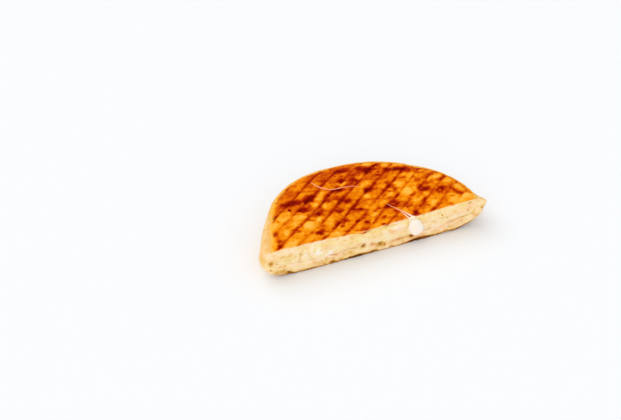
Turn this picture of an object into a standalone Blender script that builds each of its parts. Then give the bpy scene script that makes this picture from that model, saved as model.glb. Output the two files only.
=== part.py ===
"""Half of a round grilled cheese toastie, cut straight across and lying flat.

The bread is one pressed, filled round: a rim that is sealed all the way round, a flat grilled top with
two crossing families of grill marks, and a pocket that opens at the cut. The melted cheese fills the
pocket, bulges a little out of the cut and hangs down its face in one drip.

The cut runs along X and faces -Y, the round side is at +Y, and the base rests on Z = 0.
"""

import math

import bmesh
import bpy
from mathutils import Matrix, Vector

# ---- driving dimensions, in metres ------------------------------------------------------------------
LOAF_RADIUS = 0.084  # whole round bread, at its widest
LOAF_HEIGHT = 0.0244  # base to the grilled top
CUT_OFFSET = 0.003  # the knife missed the middle of the round by this much
GAP = 0.0003  # between the bread and the cheese

SHOULDER_WIDTH = 0.016  # from the flat top out to the widest line
WIDEST_HEIGHT = 0.0193  # height of the widest line
FLANK_INSET = 0.014  # how far the base lies inside the widest line

CHEESE_HEIGHT = 0.0120  # middle of the filling above the base
CHEESE_HALF_THICKNESS = 0.0034
CHEESE_RADIUS = 0.0735
CHEESE_EDGE_POWER = 0.6  # how blunt the filling's outer edge is
CHEESE_LIP = 0.0012  # how far the filling bulges out of the cut
LIP_NARROWING = 0.35  # share of its thickness that the lip loses at its front

DRIP_CENTRE = Vector((0.0283, -0.0004, 0.0122))
DRIP_RADII = Vector((0.0052, 0.0032, 0.0073))
DRIP_LEAN = math.radians(14.0)  # the drip leans, its foot towards +X

MARK_DEPTH = 0.0009
MARK_BAR = 0.004  # side of the square bars that press the marks
FIRST_MARKS = {"angle": math.radians(38.0), "pitch": 0.0101, "phase": -0.0041}
SECOND_MARKS = {"angle": math.radians(-20.0), "pitch": 0.0119, "phase": -0.0059}

# ---- how the pressed bread departs from a true round ------------------------------------------------
# Bumps and flats of the outline: direction from the middle of the cut, height and angular width.
OUTLINE_BUMPS = (
    (math.radians(180.0), 0.0042, math.radians(6.5)),
    (math.radians(149.0), -0.0028, math.radians(19.0)),
    (math.radians(95.0), -0.0006, math.radians(16.0)),
    (math.radians(60.0), -0.0017, math.radians(15.0)),
)
TIP_DRAW_IN = 0.0200  # the base is drawn in under the right-hand tip by this much
TIP_DRAW_WIDTH = math.radians(24.0)
TIP_DRAW_SHARPNESS = 4.0  # how fast the drawing-in fades upwards, and outwards from the middle
SAG_DEPTH = 0.0034  # the knife pressed the middle of the cut down
SAG_MIDDLE_X = -0.004
SAG_HALF_WIDTH = 0.040
SAG_REACH = 0.060  # the sag fades out this far behind the cut
WAVE_HEIGHT = 0.00035  # gentle waves of the top
WAVES = ((95.0, 60.0, 0.0), (-70.0, 140.0, 1.0))  # radians per metre along X and Y, and phase

# ---- resolution -------------------------------------------------------------------------------------
ROUND_STEPS = 80
ARC_STEPS = 6
LENS_STEPS = 7
MERGE = 0.00001


def clear_scene():
    """Remove everything that a new file holds."""
    for obj in list(bpy.data.objects):
        bpy.data.objects.remove(obj, do_unlink=True)


def make_collection(name):
    """Add a collection to the scene."""
    collection = bpy.data.collections.new(name)
    bpy.context.scene.collection.children.link(collection)
    return collection


def make_material(name, colour, roughness):
    """Make a Principled material of one colour."""
    material = bpy.data.materials.new(name)
    material.use_nodes = True
    shader = material.node_tree.nodes["Principled BSDF"]
    shader.inputs["Base Color"].default_value = (*colour, 1.0)
    shader.inputs["Roughness"].default_value = roughness
    shader.inputs["Metallic"].default_value = 0.0
    return material


def add_object(name, mesh, collection):
    """Put a mesh into a collection as an object."""
    obj = bpy.data.objects.new(name, mesh)
    collection.objects.link(obj)
    return obj


def mesh_from(bm, name):
    """Turn a bmesh into mesh data and free it."""
    mesh = bpy.data.meshes.new(name)
    bm.to_mesh(mesh)
    bm.free()
    return mesh


def loaf_profile():
    """Half section of the whole round: out along the top, over the shoulder, down the flank, back in."""
    shoulder = [
        (
            LOAF_RADIUS - SHOULDER_WIDTH + SHOULDER_WIDTH * math.sin(turn),
            WIDEST_HEIGHT + (LOAF_HEIGHT - WIDEST_HEIGHT) * math.cos(turn),
        )
        for turn in quarter_turns(ARC_STEPS)
    ]
    flank = [
        (
            LOAF_RADIUS - FLANK_INSET * (1.0 - math.cos(turn)),
            WIDEST_HEIGHT * (1.0 - math.sin(turn)),
        )
        for turn in quarter_turns(ARC_STEPS)
    ]
    return [(0.0, LOAF_HEIGHT), *shoulder, *flank[1:], (0.0, 0.0)]


def filling_profile(clearance):
    """Half section of the flat lens that the filling makes, grown by a clearance on every side."""
    radius = CHEESE_RADIUS + clearance
    half = CHEESE_HALF_THICKNESS + clearance
    turns = [math.pi * (0.5 - step / (2 * LENS_STEPS)) for step in range(2 * LENS_STEPS + 1)]
    points = []
    for turn in turns:
        reach = radius * max(math.cos(turn), 0.0) ** CHEESE_EDGE_POWER
        points.append((reach, CHEESE_HEIGHT + half * math.sin(turn)))
    return points


def quarter_turns(steps):
    """Angles from 0 to a quarter turn."""
    return [0.5 * math.pi * step / steps for step in range(steps + 1)]


def turned(name, profile, collection):
    """Turn a half section about the loaf's own axis with a Screw modifier."""
    bm = bmesh.new()
    verts = [bm.verts.new((radius, 0.0, height)) for radius, height in profile]
    for first, second in zip(verts, verts[1:]):
        bm.edges.new((first, second))
    obj = add_object(name, mesh_from(bm, name), collection)
    obj.location = (0.0, -CUT_OFFSET, 0.0)
    screw = obj.modifiers.new("Turn", "SCREW")
    screw.axis = "Z"
    screw.steps = ROUND_STEPS
    screw.render_steps = ROUND_STEPS
    screw.use_merge_vertices = True
    screw.merge_threshold = MERGE
    screw.use_normal_calculate = True
    return obj


def as_cutter(obj):
    """Mark an object as a cutter that neither renders nor counts as a piece."""
    obj.hide_render = True
    obj.display_type = "WIRE"
    return obj


def cut(obj, cutter, operation="DIFFERENCE"):
    """Add an exact Boolean to an object."""
    boolean = obj.modifiers.new(cutter.name, "BOOLEAN")
    boolean.operation = operation
    boolean.solver = "EXACT"
    boolean.object = cutter


def bake(obj):
    """Replace an object's mesh by its evaluated, triangulated mesh in world space."""
    depsgraph = bpy.context.evaluated_depsgraph_get()
    mesh = bpy.data.meshes.new_from_object(obj.evaluated_get(depsgraph))
    mesh.transform(obj.matrix_world)
    bm = bmesh.new()
    bm.from_mesh(mesh)
    bmesh.ops.remove_doubles(bm, verts=bm.verts, dist=MERGE)
    bmesh.ops.triangulate(bm, faces=bm.faces)
    bm.to_mesh(mesh)
    bm.free()
    obj.modifiers.clear()
    obj.data = mesh
    obj.matrix_world = Matrix.Identity(4)


def knife(name, cut_y, collection):
    """A block that takes away everything in front of a plane of constant Y."""
    size = 3.0 * LOAF_RADIUS
    bm = bmesh.new()
    bmesh.ops.create_cube(bm, size=size)
    bmesh.ops.translate(bm, verts=bm.verts, vec=(0.0, cut_y - 0.5 * size, 0.0))
    return as_cutter(add_object(name, mesh_from(bm, name), collection))


def grill_bars(name, marks, collection):
    """Square bars lying on edge, one for each grill mark of a family."""
    across = Vector((-math.sin(marks["angle"]), math.cos(marks["angle"]), 0.0))
    turn = Matrix.Rotation(marks["angle"], 3, "Z")
    lowest = -math.ceil((LOAF_RADIUS + marks["phase"]) / marks["pitch"])
    highest = math.ceil((LOAF_RADIUS - marks["phase"]) / marks["pitch"])
    bars = []
    for index in range(lowest, highest + 1):
        distance = marks["phase"] + index * marks["pitch"]
        if abs(distance) > LOAF_RADIUS - 0.5 * SHOULDER_WIDTH:
            continue
        bm = bmesh.new()
        bmesh.ops.create_cube(bm, size=1.0)
        bmesh.ops.scale(bm, verts=bm.verts, vec=(3.0 * LOAF_RADIUS, MARK_BAR, MARK_BAR))
        bmesh.ops.rotate(bm, verts=bm.verts, matrix=Matrix.Rotation(math.radians(45.0), 3, "X"))
        lift = LOAF_HEIGHT - MARK_DEPTH + MARK_BAR * math.sqrt(0.5)
        bmesh.ops.rotate(bm, verts=bm.verts, matrix=turn)
        bmesh.ops.translate(bm, verts=bm.verts, vec=across * distance + Vector((0.0, 0.0, lift)))
        bar_name = f"{name}_{index - lowest}"
        bars.append(as_cutter(add_object(bar_name, mesh_from(bm, bar_name), collection)))
    return bars


def bump(angle, middle, height, width):
    """A bell-shaped bump in an angle."""
    return height * math.exp(-(((angle - middle) / width) ** 2))


def pressed(point):
    """Move a point of the true round to its place in the uneven, pressed and cut bread."""
    x, y, z = point
    angle = math.atan2(max(y, 0.0), x)
    radius = math.hypot(x, y)
    share = radius / LOAF_RADIUS
    growth = sum(bump(angle, *entry) for entry in OUTLINE_BUMPS) * share**2
    if z < WIDEST_HEIGHT:
        under = (1.0 - z / WIDEST_HEIGHT) * share
        growth -= bump(angle, 0.0, TIP_DRAW_IN, TIP_DRAW_WIDTH) * under**TIP_DRAW_SHARPNESS
    scale = 1.0 + growth / max(radius, MERGE)
    fade = math.exp(-(max(y, 0.0) / SAG_REACH) ** 2)
    sag = SAG_DEPTH * math.exp(-(((x - SAG_MIDDLE_X) / SAG_HALF_WIDTH) ** 2)) * fade
    wave = WAVE_HEIGHT * sum(math.sin(along * x + across * y + phase) for along, across, phase in WAVES)
    return Vector((x * scale, y * scale, z * (1.0 + (wave - sag) / LOAF_HEIGHT)))


def press(obj):
    """Apply the pressed shape to every point of a baked object."""
    for vertex in obj.data.vertices:
        vertex.co = pressed(vertex.co)


def build_bread(parts, cutters):
    """The bread: a turned round, halved, with its pocket and its grill marks, then pressed."""
    bread = turned("bread", loaf_profile(), parts)
    flats = bread.modifiers.new("Flat faces", "DECIMATE")
    flats.decimate_type = "DISSOLVE"
    flats.angle_limit = math.radians(0.5)
    cut(bread, knife("knife", 0.0, cutters))
    cut(bread, as_cutter(turned("pocket", filling_profile(GAP), cutters)))
    for name, marks in (("first_mark", FIRST_MARKS), ("second_mark", SECOND_MARKS)):
        for bar in grill_bars(name, marks, cutters):
            cut(bread, bar)
    bake(bread)
    press(bread)
    bread.data.materials.append(make_material("toasted_bread", (0.72, 0.30, 0.06), 0.55))
    return bread


def build_drip(cutters):
    """A drop of cheese that hangs in front of the cut, flat where it faces the bread."""
    bm = bmesh.new()
    bmesh.ops.create_uvsphere(bm, u_segments=20, v_segments=12, radius=1.0)
    bmesh.ops.scale(bm, verts=bm.verts, vec=DRIP_RADII)
    bmesh.ops.rotate(bm, verts=bm.verts, matrix=Matrix.Rotation(DRIP_LEAN, 3, "Y"))
    bmesh.ops.translate(bm, verts=bm.verts, vec=DRIP_CENTRE)
    geometry = bm.verts[:] + bm.edges[:] + bm.faces[:]
    plane = Vector((0.0, -GAP, 0.0))
    sliced = bmesh.ops.bisect_plane(bm, geom=geometry, plane_co=plane, plane_no=(0, 1, 0), clear_outer=True)
    rim = [item for item in sliced["geom_cut"] if isinstance(item, bmesh.types.BMEdge)]
    bmesh.ops.contextual_create(bm, geom=rim)
    bmesh.ops.recalc_face_normals(bm, faces=bm.faces)
    return as_cutter(add_object("drip", mesh_from(bm, "drip"), cutters))


def build_cheese(parts, cutters):
    """The filling: a flat lens that fills the pocket, with a rounded lip and the drip joined to it."""
    cheese = turned("cheese", filling_profile(0.0), parts)
    cut(cheese, knife("lip_knife", -CHEESE_LIP, cutters))
    bake(cheese)
    round_lip(cheese)
    press(cheese)
    cut(cheese, build_drip(cutters), "UNION")
    bake(cheese)
    cheese.data.materials.append(make_material("melted_cheese", (0.93, 0.80, 0.58), 0.35))
    return cheese


def round_lip(cheese):
    """Round the front of the filling by drawing its cut edge towards the middle height."""
    bm = bmesh.new()
    bm.from_mesh(cheese.data)
    for depth in (0.0, -0.5 * CHEESE_LIP):
        geometry = bm.verts[:] + bm.edges[:] + bm.faces[:]
        bmesh.ops.bisect_plane(bm, geom=geometry, plane_co=(0, depth, 0), plane_no=(0, 1, 0))
    for vertex in bm.verts:
        if vertex.co.y < -MERGE:
            out = min(-vertex.co.y / CHEESE_LIP, 1.0)
            keep = 1.0 - LIP_NARROWING * out**2
            vertex.co.z = CHEESE_HEIGHT + (vertex.co.z - CHEESE_HEIGHT) * keep
    bmesh.ops.triangulate(bm, faces=bm.faces)
    bm.to_mesh(cheese.data)
    bm.free()


def centre_on_base(objects):
    """Move the finished pieces so that the origin is under the middle of their common box."""
    points = [vertex.co for obj in objects for vertex in obj.data.vertices]
    low = Vector([min(point[axis] for point in points) for axis in range(3)])
    high = Vector([max(point[axis] for point in points) for axis in range(3)])
    middle = 0.5 * (low + high)
    move = Matrix.Translation((-middle.x, -middle.y, -low.z))
    for obj in objects:
        obj.data.transform(move)


def shade(obj):
    """Shade the round faces smooth and keep the cut edges sharp."""
    obj.data.shade_smooth()
    obj.data.set_sharp_from_angle(angle=math.radians(35.0))


def main():
    """Build the half toastie."""
    clear_scene()
    parts = make_collection("half_toastie")
    cutters = make_collection("cutters")
    pieces = [build_bread(parts, cutters), build_cheese(parts, cutters)]
    centre_on_base(pieces)
    for piece in pieces:
        shade(piece)


main()
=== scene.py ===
"""Half of a round grilled cheese toastie, lying on a pale table with its cut towards the viewer.

The pieces are the bread with its grilled crusts and open crumb, the melted filling with the drip that
hangs out of the cut, and the cheese strings that lie on the crust. Lengths are in metres unless a
docstring says otherwise. Every piece is shaped in the loaf's own axes, X along the cut, Y from the cut into
the bread and Z up from the base, with the middle of the round at X = 0, and is then moved to where the
frame says the bread lies. A true place is one in the even round that the loaf started from, and a pressed
place is the same point in the uneven loaf after pressing and cutting.
"""

import itertools
import logging
import math
from dataclasses import dataclass
from enum import Enum

import bmesh
import bpy
import numpy as np
from mathutils import Matrix, Vector
from mathutils.bvhtree import BVHTree


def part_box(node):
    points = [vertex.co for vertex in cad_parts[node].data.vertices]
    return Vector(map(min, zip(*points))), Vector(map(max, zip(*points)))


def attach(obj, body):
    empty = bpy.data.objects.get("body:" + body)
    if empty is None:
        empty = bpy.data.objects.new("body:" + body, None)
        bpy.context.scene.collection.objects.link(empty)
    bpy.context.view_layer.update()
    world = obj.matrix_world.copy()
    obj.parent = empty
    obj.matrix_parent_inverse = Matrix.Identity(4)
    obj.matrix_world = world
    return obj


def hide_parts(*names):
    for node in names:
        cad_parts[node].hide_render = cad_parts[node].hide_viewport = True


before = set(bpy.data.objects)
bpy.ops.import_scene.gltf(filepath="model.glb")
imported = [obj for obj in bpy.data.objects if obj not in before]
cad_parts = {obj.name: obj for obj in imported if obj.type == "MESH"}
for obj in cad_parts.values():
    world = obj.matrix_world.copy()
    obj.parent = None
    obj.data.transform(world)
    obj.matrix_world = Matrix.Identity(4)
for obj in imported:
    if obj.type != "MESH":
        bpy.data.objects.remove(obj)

LOG = logging.getLogger("toastie")
MM = 0.001
# Points nearer than this are one point.
WELD = 1e-6
# A height above everything, from which the crust is looked for.
ABOVE = 0.1
# Steps of each quarter of the loaf's section, and of each half of the filling's.
PROFILE_STEPS = 18
LENS_STEPS = 9
# What keeps a point's place on a crust, and on the cut.
FLAT = np.array([1.0, 1.0, 0.0])
ON_CUT = np.array([1.0, 0.0, 1.0])
# Large odd numbers that scramble the cells of the noise lattice.
HASH_FACTORS = (73856093, 19349663, 83492791)
SEED_FACTOR = 26544357
HASH_ROUNDS = ((13, 1274126177), (16, 224682251))
HASH_MASK = 0x7FFFFFFF

Socket = bpy.types.NodeSocket
Pair = tuple[float, float]
Row = tuple[float, float, float]
Array = np.ndarray


class Node(Enum):
    """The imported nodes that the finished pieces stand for."""

    BREAD = "bread"
    CHEESE = "cheese"


class Slot(Enum):
    """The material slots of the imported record."""

    BREAD = "toasted_bread"
    CHEESE = "melted_cheese"


class Side(Enum):
    """The two grilled sides, by the seed that gives each its own noise."""

    TOP = 11
    BASE = 71


class Mask(Enum):
    """Named point attributes that carry the baking, with its painted shade, from the mesh to the materials."""

    BAKED_AND_SHADE = "baked"
    RIM = "rim"
    CRUMB = "crumb"
    TONE = "tone"
    BLUSH = "blush"


# ---- Helpers ----


def smooth_step(values: Array, low: float, high: float) -> Array:
    """Ease from 0 to 1 between two limits.

    Args:
        values: the numbers to ease.
        low: the limit that gives 0; it may be above high for a falling step.
        high: the limit that gives 1.

    Returns:
        The eased numbers.
    """
    share = np.clip((values - low) / (high - low), 0.0, 1.0)
    return share * share * (3.0 - 2.0 * share)


def bell(values: Array, width: float) -> Array:
    """A bell curve of height 1 round zero."""
    return np.exp(-((values / width) ** 2))


def turned(first: Array, second: Array, degrees: float) -> tuple[Array, Array]:
    """Read places along axes that are turned from their own.

    Args:
        first: places along the first axis.
        second: places along the second axis.
        degrees: turn of the new axes, from the first axis towards the second.

    Returns:
        Places along the two turned axes.
    """
    angle = math.radians(degrees)
    along = first * math.cos(angle) + second * math.sin(angle)
    return along, second * math.cos(angle) - first * math.sin(angle)


def display_colour(red: float, green: float, blue: float) -> tuple[float, float, float, float]:
    """Turn a display colour of 0 to 255 into a scene-linear colour.

    Args:
        red: display red.
        green: display green.
        blue: display blue.

    Returns:
        Scene-linear red, green, blue and an alpha of 1.
    """

    def linear(value: float) -> float:
        """One channel, by the standard display curve."""
        share = value / 255.0
        return share / 12.92 if share <= 0.04045 else ((share + 0.055) / 1.055) ** 2.4

    return (linear(red), linear(green), linear(blue), 1.0)


@dataclass(frozen=True)
class Noise:
    """Repeatable soft noise on a lattice.

    Attributes:
        seed: tells one field from another.
    """

    seed: int

    def lattice(self, cells: Array) -> Array:
        """Random numbers for the cells of the lattice.

        Args:
            cells: rows of whole numbers.

        Returns:
            One number of 0 to 1 for each row.
        """
        whole = cells.astype(np.int64) & 0xFFFF
        first, second, third = (whole[:, axis] * factor for axis, factor in enumerate(HASH_FACTORS))
        mixed = ((first ^ second ^ third) ^ (self.seed * SEED_FACTOR)) & HASH_MASK
        for shift, factor in HASH_ROUNDS:
            mixed = ((mixed ^ (mixed >> shift)) * factor) & HASH_MASK
        return ((mixed ^ (mixed >> 15)) & 0xFFFFF) / float(0xFFFFF)

    def soft(self, points: Array, size: float) -> Array:
        """Smooth noise of -1 to 1.

        Args:
            points: rows of X, Y, Z.
            size: the spacing of the lattice.

        Returns:
            One number for each point.
        """
        scaled = points / size
        base = np.floor(scaled)
        share = scaled - base
        share = share**3 * (share * (share * 6.0 - 15.0) + 10.0)
        total = np.zeros(len(points))
        for corner in itertools.product((0, 1), repeat=3):
            weight = np.prod(np.where(np.array(corner) == 1, share, 1.0 - share), axis=1)
            total += weight * self.lattice(base + corner)
        return 2.0 * total - 1.0

    def layered(self, points: Array, size: float, layers: int = 3) -> Array:
        """Soft noise with finer layers of falling strength.

        Args:
            points: rows of X, Y, Z.
            size: the spacing of the coarsest layer's lattice.
            layers: how many layers there are, each twice as fine as the one before.

        Returns:
            One number for each point, from about -1 to 1.
        """
        total = np.zeros(len(points))
        for layer in range(layers):
            shifted = points + 0.37 * size * (layer + 1)
            total += Noise(self.seed + layer).soft(shifted, size / 2**layer) / 2**layer
        return total / (2.0 - 0.5 ** (layers - 1))

    def pores(self, points: Array, size: float, share: float) -> Array:
        """Round pores of uneven size, as 1 in the middle of a pore and 0 outside it.

        Args:
            points: rows of X, Y, Z.
            size: the spacing of the cells, each of which may hold one pore.
            share: the share of the cells that hold one.

        Returns:
            One number for each point.
        """
        scaled = points / size
        base = np.floor(scaled)
        deepest = np.zeros(len(points))
        for corner in itertools.product((-1, 0, 1), repeat=3):
            cell = base + corner
            centre = cell + np.stack([Noise(self.seed + axis).lattice(cell) for axis in (1, 2, 3)], axis=1)
            radius = 0.15 + 0.5 * Noise(self.seed + 4).lattice(cell)
            present = self.lattice(cell) < share
            away = np.linalg.norm(scaled - centre, axis=1) / radius
            deepest = np.maximum(deepest, np.where(present, np.clip(1.0 - away**2, 0.0, 1.0), 0.0))
        return deepest


@dataclass(frozen=True)
class Ripple:
    """Layered noise of a known grain and strength.

    Attributes:
        seed: tells one ripple from another.
        size: the spacing of its coarsest layer.
        strength: its greatest value of either sign.
        layers: how many layers it has.
    """

    seed: int
    size: float
    strength: float
    layers: int = 3

    def at(self, points: Array, shift: int = 0) -> Array:
        """The ripple at rows of X, Y, Z; a shift of the seed gives another side its own pattern."""
        return self.strength * Noise(self.seed + shift).layered(points, self.size, self.layers)


@dataclass(frozen=True)
class Pores:
    """Pores or blisters of one size.

    Attributes:
        seed: tells one kind from another.
        size: the spacing of the cells, each of which may hold one.
        share: the share of the cells that hold one.
        tone: how much darker they are.
        depth: how deep they are in bread.
    """

    seed: int
    size: float
    share: float
    tone: float
    depth: float = 0.0

    def at(self, points: Array, shift: int = 0) -> Array:
        """How much of a pore lies at rows of X, Y, Z, from 0 to 1, with the seed shifted if asked."""
        return Noise(self.seed + shift).pores(points, self.size, self.share)


@dataclass(frozen=True)
class Bump:
    """A smooth rise along one direction.

    Attributes:
        middle: where it is highest.
        height: how high it is there; below zero it is a hollow.
        width: its half width.
    """

    middle: float
    height: float
    width: float

    def at(self, places: Array) -> Array:
        """The bump's height at each place."""
        return self.height * bell(places - self.middle, self.width)


@dataclass(frozen=True)
class Fade:
    """A soft step between two places.

    Attributes:
        start: where it is 0; it may lie above the end.
        end: where it is 1.
    """

    start: float
    end: float

    def at(self, places: Array) -> Array:
        """The step's height at each place, from 0 to 1."""
        return smooth_step(places, self.start, self.end)


@dataclass(frozen=True)
class Spot:
    """A soft-edged oval patch on a flat side of the food.

    Attributes:
        across: place along X, in millimetres.
        along: place along Y on a crust, or Z on the cut, in millimetres.
        length: half length, in millimetres.
        width: half width, in millimetres.
        strength: how strongly the patch tells; below zero it works the other way.
        turn: direction of the length, in degrees from X.
        depth: how far the patch is sunk, in millimetres.
    """

    across: float
    along: float
    length: float
    width: float
    strength: float
    turn: float = 0.0
    depth: float = 0.0

    def cover(self, across: Array, along: Array) -> Array:
        """How much of the patch lies at each place.

        Args:
            across: places along X.
            along: places along Y on a crust, or Z on the cut.

        Returns:
            Shares of 0 to 1.
        """
        first, second = turned(across / MM - self.across, along / MM - self.along, self.turn)
        return np.exp(-(((first / self.length) ** 2 + (second / self.width) ** 2) ** 1.5))


@dataclass(frozen=True)
class GrillMarks:
    """One family of parallel grill marks.

    Attributes:
        angle: direction of the marks, in degrees from X.
        pitch: distance between marks.
        phase: distance of one mark from the middle of the cut.
        width: half width of the pressed valley.
        strength: how strongly the marks are scorched.
        stray: how far the marks bend off sideways towards the right-hand end.
        bend: where they bend off, along X.
    """

    angle: float
    pitch: float
    phase: float
    width: float
    strength: float
    stray: float = 0.0
    bend: Fade = Fade(0.005, 0.030)

    def valley(self, points: Array, wander: Array) -> Array:
        """How deep in a mark each point lies, from 0 to 1.

        Args:
            points: rows of X, Y, Z.
            wander: how far each point's mark strays sideways.

        Returns:
            One number for each point.
        """
        across = turned(points[:, 0], points[:, 1], self.angle)[1] + wander
        across -= self.stray * self.bend.at(points[:, 0])
        offset = np.mod(across - self.phase + 0.5 * self.pitch, self.pitch) - 0.5 * self.pitch
        return bell(offset, self.width)


# ---- The loaf's form ----


@dataclass(frozen=True)
class Loaf:
    """Sizes of the pressed round that the half was cut from, and the way in which it is uneven.

    Attributes:
        radius: the round at its widest.
        height: base to the grilled top.
        cut_offset: how far the knife missed the middle.
        shoulder: width of the rounding from the flat top to the widest line.
        widest: height of the widest line.
        flank: how far the base lies inside the widest line.
        filling_height: middle of the filling.
        filling_half: half thickness of the filling.
        filling_radius: reach of the filling.
        outline_bumps: bumps in the outline, by direction in degrees.
        tip_draw: how far the base is drawn in under the right-hand tip.
        tip_width: angular width of that tip, in degrees.
        tip_lip: how far that tip's upper edge is drawn out to a point, by height.
        tip_lip_width: angular width of that point, in degrees.
        tip_droop: how far the tip hangs down, by direction in degrees.
        tip_edge: the outer part that hangs down, as shares of the radius.
        sag: the dip that the knife left, along X.
        sag_reach: how far the dip runs into the bread.
        waves: waves per metre along X and Y, with their phase, that keep the top and base from being flat.
        wave_height: height of each wave.
        curls: places where the base curls up from the table, along X.
        curl_reach: how far the curls run into the bread.
    """

    radius: float = 0.084
    height: float = 0.0244
    cut_offset: float = 0.003
    shoulder: float = 0.016
    widest: float = 0.0193
    flank: float = 0.014
    filling_height: float = 0.0120
    filling_half: float = 0.0036
    filling_radius: float = 0.0736
    outline_bumps: tuple[Bump, ...] = (
        Bump(180.0, 0.0042, 6.5),
        Bump(151.0, -0.0033, 16.0),
        Bump(95.0, -0.0006, 16.0),
        Bump(60.0, -0.0017, 15.0),
        Bump(8.0, -0.0013, 5.0),
    )
    tip_draw: float = 0.020
    tip_width: float = 24.0
    tip_lip: Bump = Bump(0.0205, 0.0022, 0.0026)
    tip_lip_width: float = 4.0
    tip_droop: Bump = Bump(0.0, 0.0010, 9.0)
    tip_edge: Fade = Fade(0.88, 1.0)
    sag: Bump = Bump(-0.004, 0.0034, 0.040)
    sag_reach: float = 0.060
    waves: tuple[Row, ...] = ((95.0, 60.0, 0.0), (-70.0, 140.0, 1.0))
    wave_height: float = 0.00035
    curls: tuple[Bump, ...] = (Bump(-0.078, 0.0026, 0.012), Bump(0.059, 0.0010, 0.0075))
    curl_reach: float = 0.045

    def outer_profile(self, steps: int) -> list[Pair]:
        """Half section of the round, from the middle of the top out, down and back to the axis.

        Args:
            steps: steps of each quarter of the section.

        Returns:
            Radius and height of each point.
        """
        quarter = [0.5 * math.pi * step / steps for step in range(steps + 1)]
        inner = self.radius - self.shoulder
        rise = self.height - self.widest
        over = [(inner + self.shoulder * math.sin(a), self.widest + rise * math.cos(a)) for a in quarter]
        down = [
            (self.radius - self.flank * (1.0 - math.cos(a)), self.widest * (1.0 - math.sin(a)))
            for a in quarter
        ]
        return [(0.0, self.height), *over, *down[1:], (0.0, 0.0)]

    def filling_profile(self, steps: int, growth: float = 0.0) -> list[Pair]:
        """Half section of the flat lens that holds the filling.

        Args:
            steps: steps of each half of the section.
            growth: how much larger than the pocket it is all round.

        Returns:
            Radius and height of each point.
        """
        turns = [math.pi * (0.5 - step / (2 * steps)) for step in range(2 * steps + 1)]
        reach = self.filling_radius + growth
        half = self.filling_half + growth
        return [
            (reach * max(math.cos(a), 0.0) ** 0.6, self.filling_height + half * math.sin(a)) for a in turns
        ]

    def share(self, points: Array) -> Array:
        """Distance from the loaf's axis, as a share of the radius."""
        return np.hypot(points[:, 0], points[:, 1] + self.cut_offset) / self.radius

    def press(self, points: Array) -> Array:
        """Move points of the true round to their places in the uneven, pressed and cut loaf.

        Args:
            points: rows of X, Y, Z in the true round.

        Returns:
            Rows of X, Y, Z in the pressed loaf.
        """
        x, y, z = points.T
        behind = np.maximum(y, 0.0)
        angle = np.degrees(np.arctan2(behind, x))
        reach = np.maximum(np.hypot(x, y), 1e-5)
        share = reach / self.radius
        growth = sum(bump.at(angle) for bump in self.outline_bumps) * share**2
        under = np.clip(1.0 - z / self.widest, 0.0, 1.0) * share
        growth = growth - self.tip_draw * bell(angle, self.tip_width) * under**4
        growth = growth + self.tip_lip.at(z) * bell(angle, self.tip_lip_width) * share**8
        scale = 1.0 + growth / reach
        dip = self.sag.at(x) * bell(behind, self.sag_reach)
        wave = sum(np.sin(along * x + into * y + phase) for along, into, phase in self.waves)
        lift = sum(curl.at(x) for curl in self.curls)
        lift = lift * bell(behind, self.curl_reach) * np.clip(1.0 - z / self.height, 0.0, 1.0)
        lift = lift - self.tip_droop.at(angle) * self.tip_edge.at(share)
        rise = z * (1.0 + (self.wave_height * wave - dip) / self.height) + lift
        return np.stack([x * scale, y * scale, rise], axis=1)

    def foot_gap(self, points: Array) -> Array:
        """How far points of the cut's lower half lie inside its foot.

        Args:
            points: rows of X, Y, Z in the true round.

        Returns:
            Distances from the base or the flank, whichever is nearer.
        """
        down = np.clip(1.0 - points[:, 2] / self.widest, 0.0, 1.0)
        reach = self.radius - self.flank * (1.0 - np.sqrt(1.0 - down**2))
        aside = reach - np.hypot(points[:, 0], points[:, 1] + self.cut_offset)
        return np.minimum(points[:, 2], 0.7 * np.maximum(aside, 0.0))

    def half_body(self, profile: list[Pair], cut_at: float, turns: int) -> bmesh.types.BMesh:
        """Turn a half section about the loaf's axis and cut away what lies in front of the knife.

        Args:
            profile: radius and height of the points of the half section.
            cut_at: the Y of the cut.
            turns: steps of the full turn.

        Returns:
            A closed body.
        """
        bm = bmesh.new()
        verts = [bm.verts.new((reach, 0.0, height)) for reach, height in profile]
        edges = [bm.edges.new(pair) for pair in zip(verts, verts[1:])]
        bmesh.ops.spin(
            bm,
            geom=verts + edges,
            cent=(0, 0, 0),
            axis=(0, 0, 1),
            angle=math.tau,
            steps=turns,
            use_merge=True,
        )
        bmesh.ops.remove_doubles(bm, verts=bm.verts, dist=WELD)
        bmesh.ops.translate(bm, verts=bm.verts, vec=(0.0, -self.cut_offset, 0.0))
        everything = bm.verts[:] + bm.edges[:] + bm.faces[:]
        sliced = bmesh.ops.bisect_plane(
            bm, geom=everything, plane_co=(0, cut_at, 0), plane_no=(0, -1, 0), clear_outer=True
        )
        rim = [item for item in sliced["geom_cut"] if isinstance(item, bmesh.types.BMEdge)]
        bmesh.ops.contextual_create(bm, geom=rim)
        bmesh.ops.recalc_face_normals(bm, faces=bm.faces)
        return bm


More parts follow.
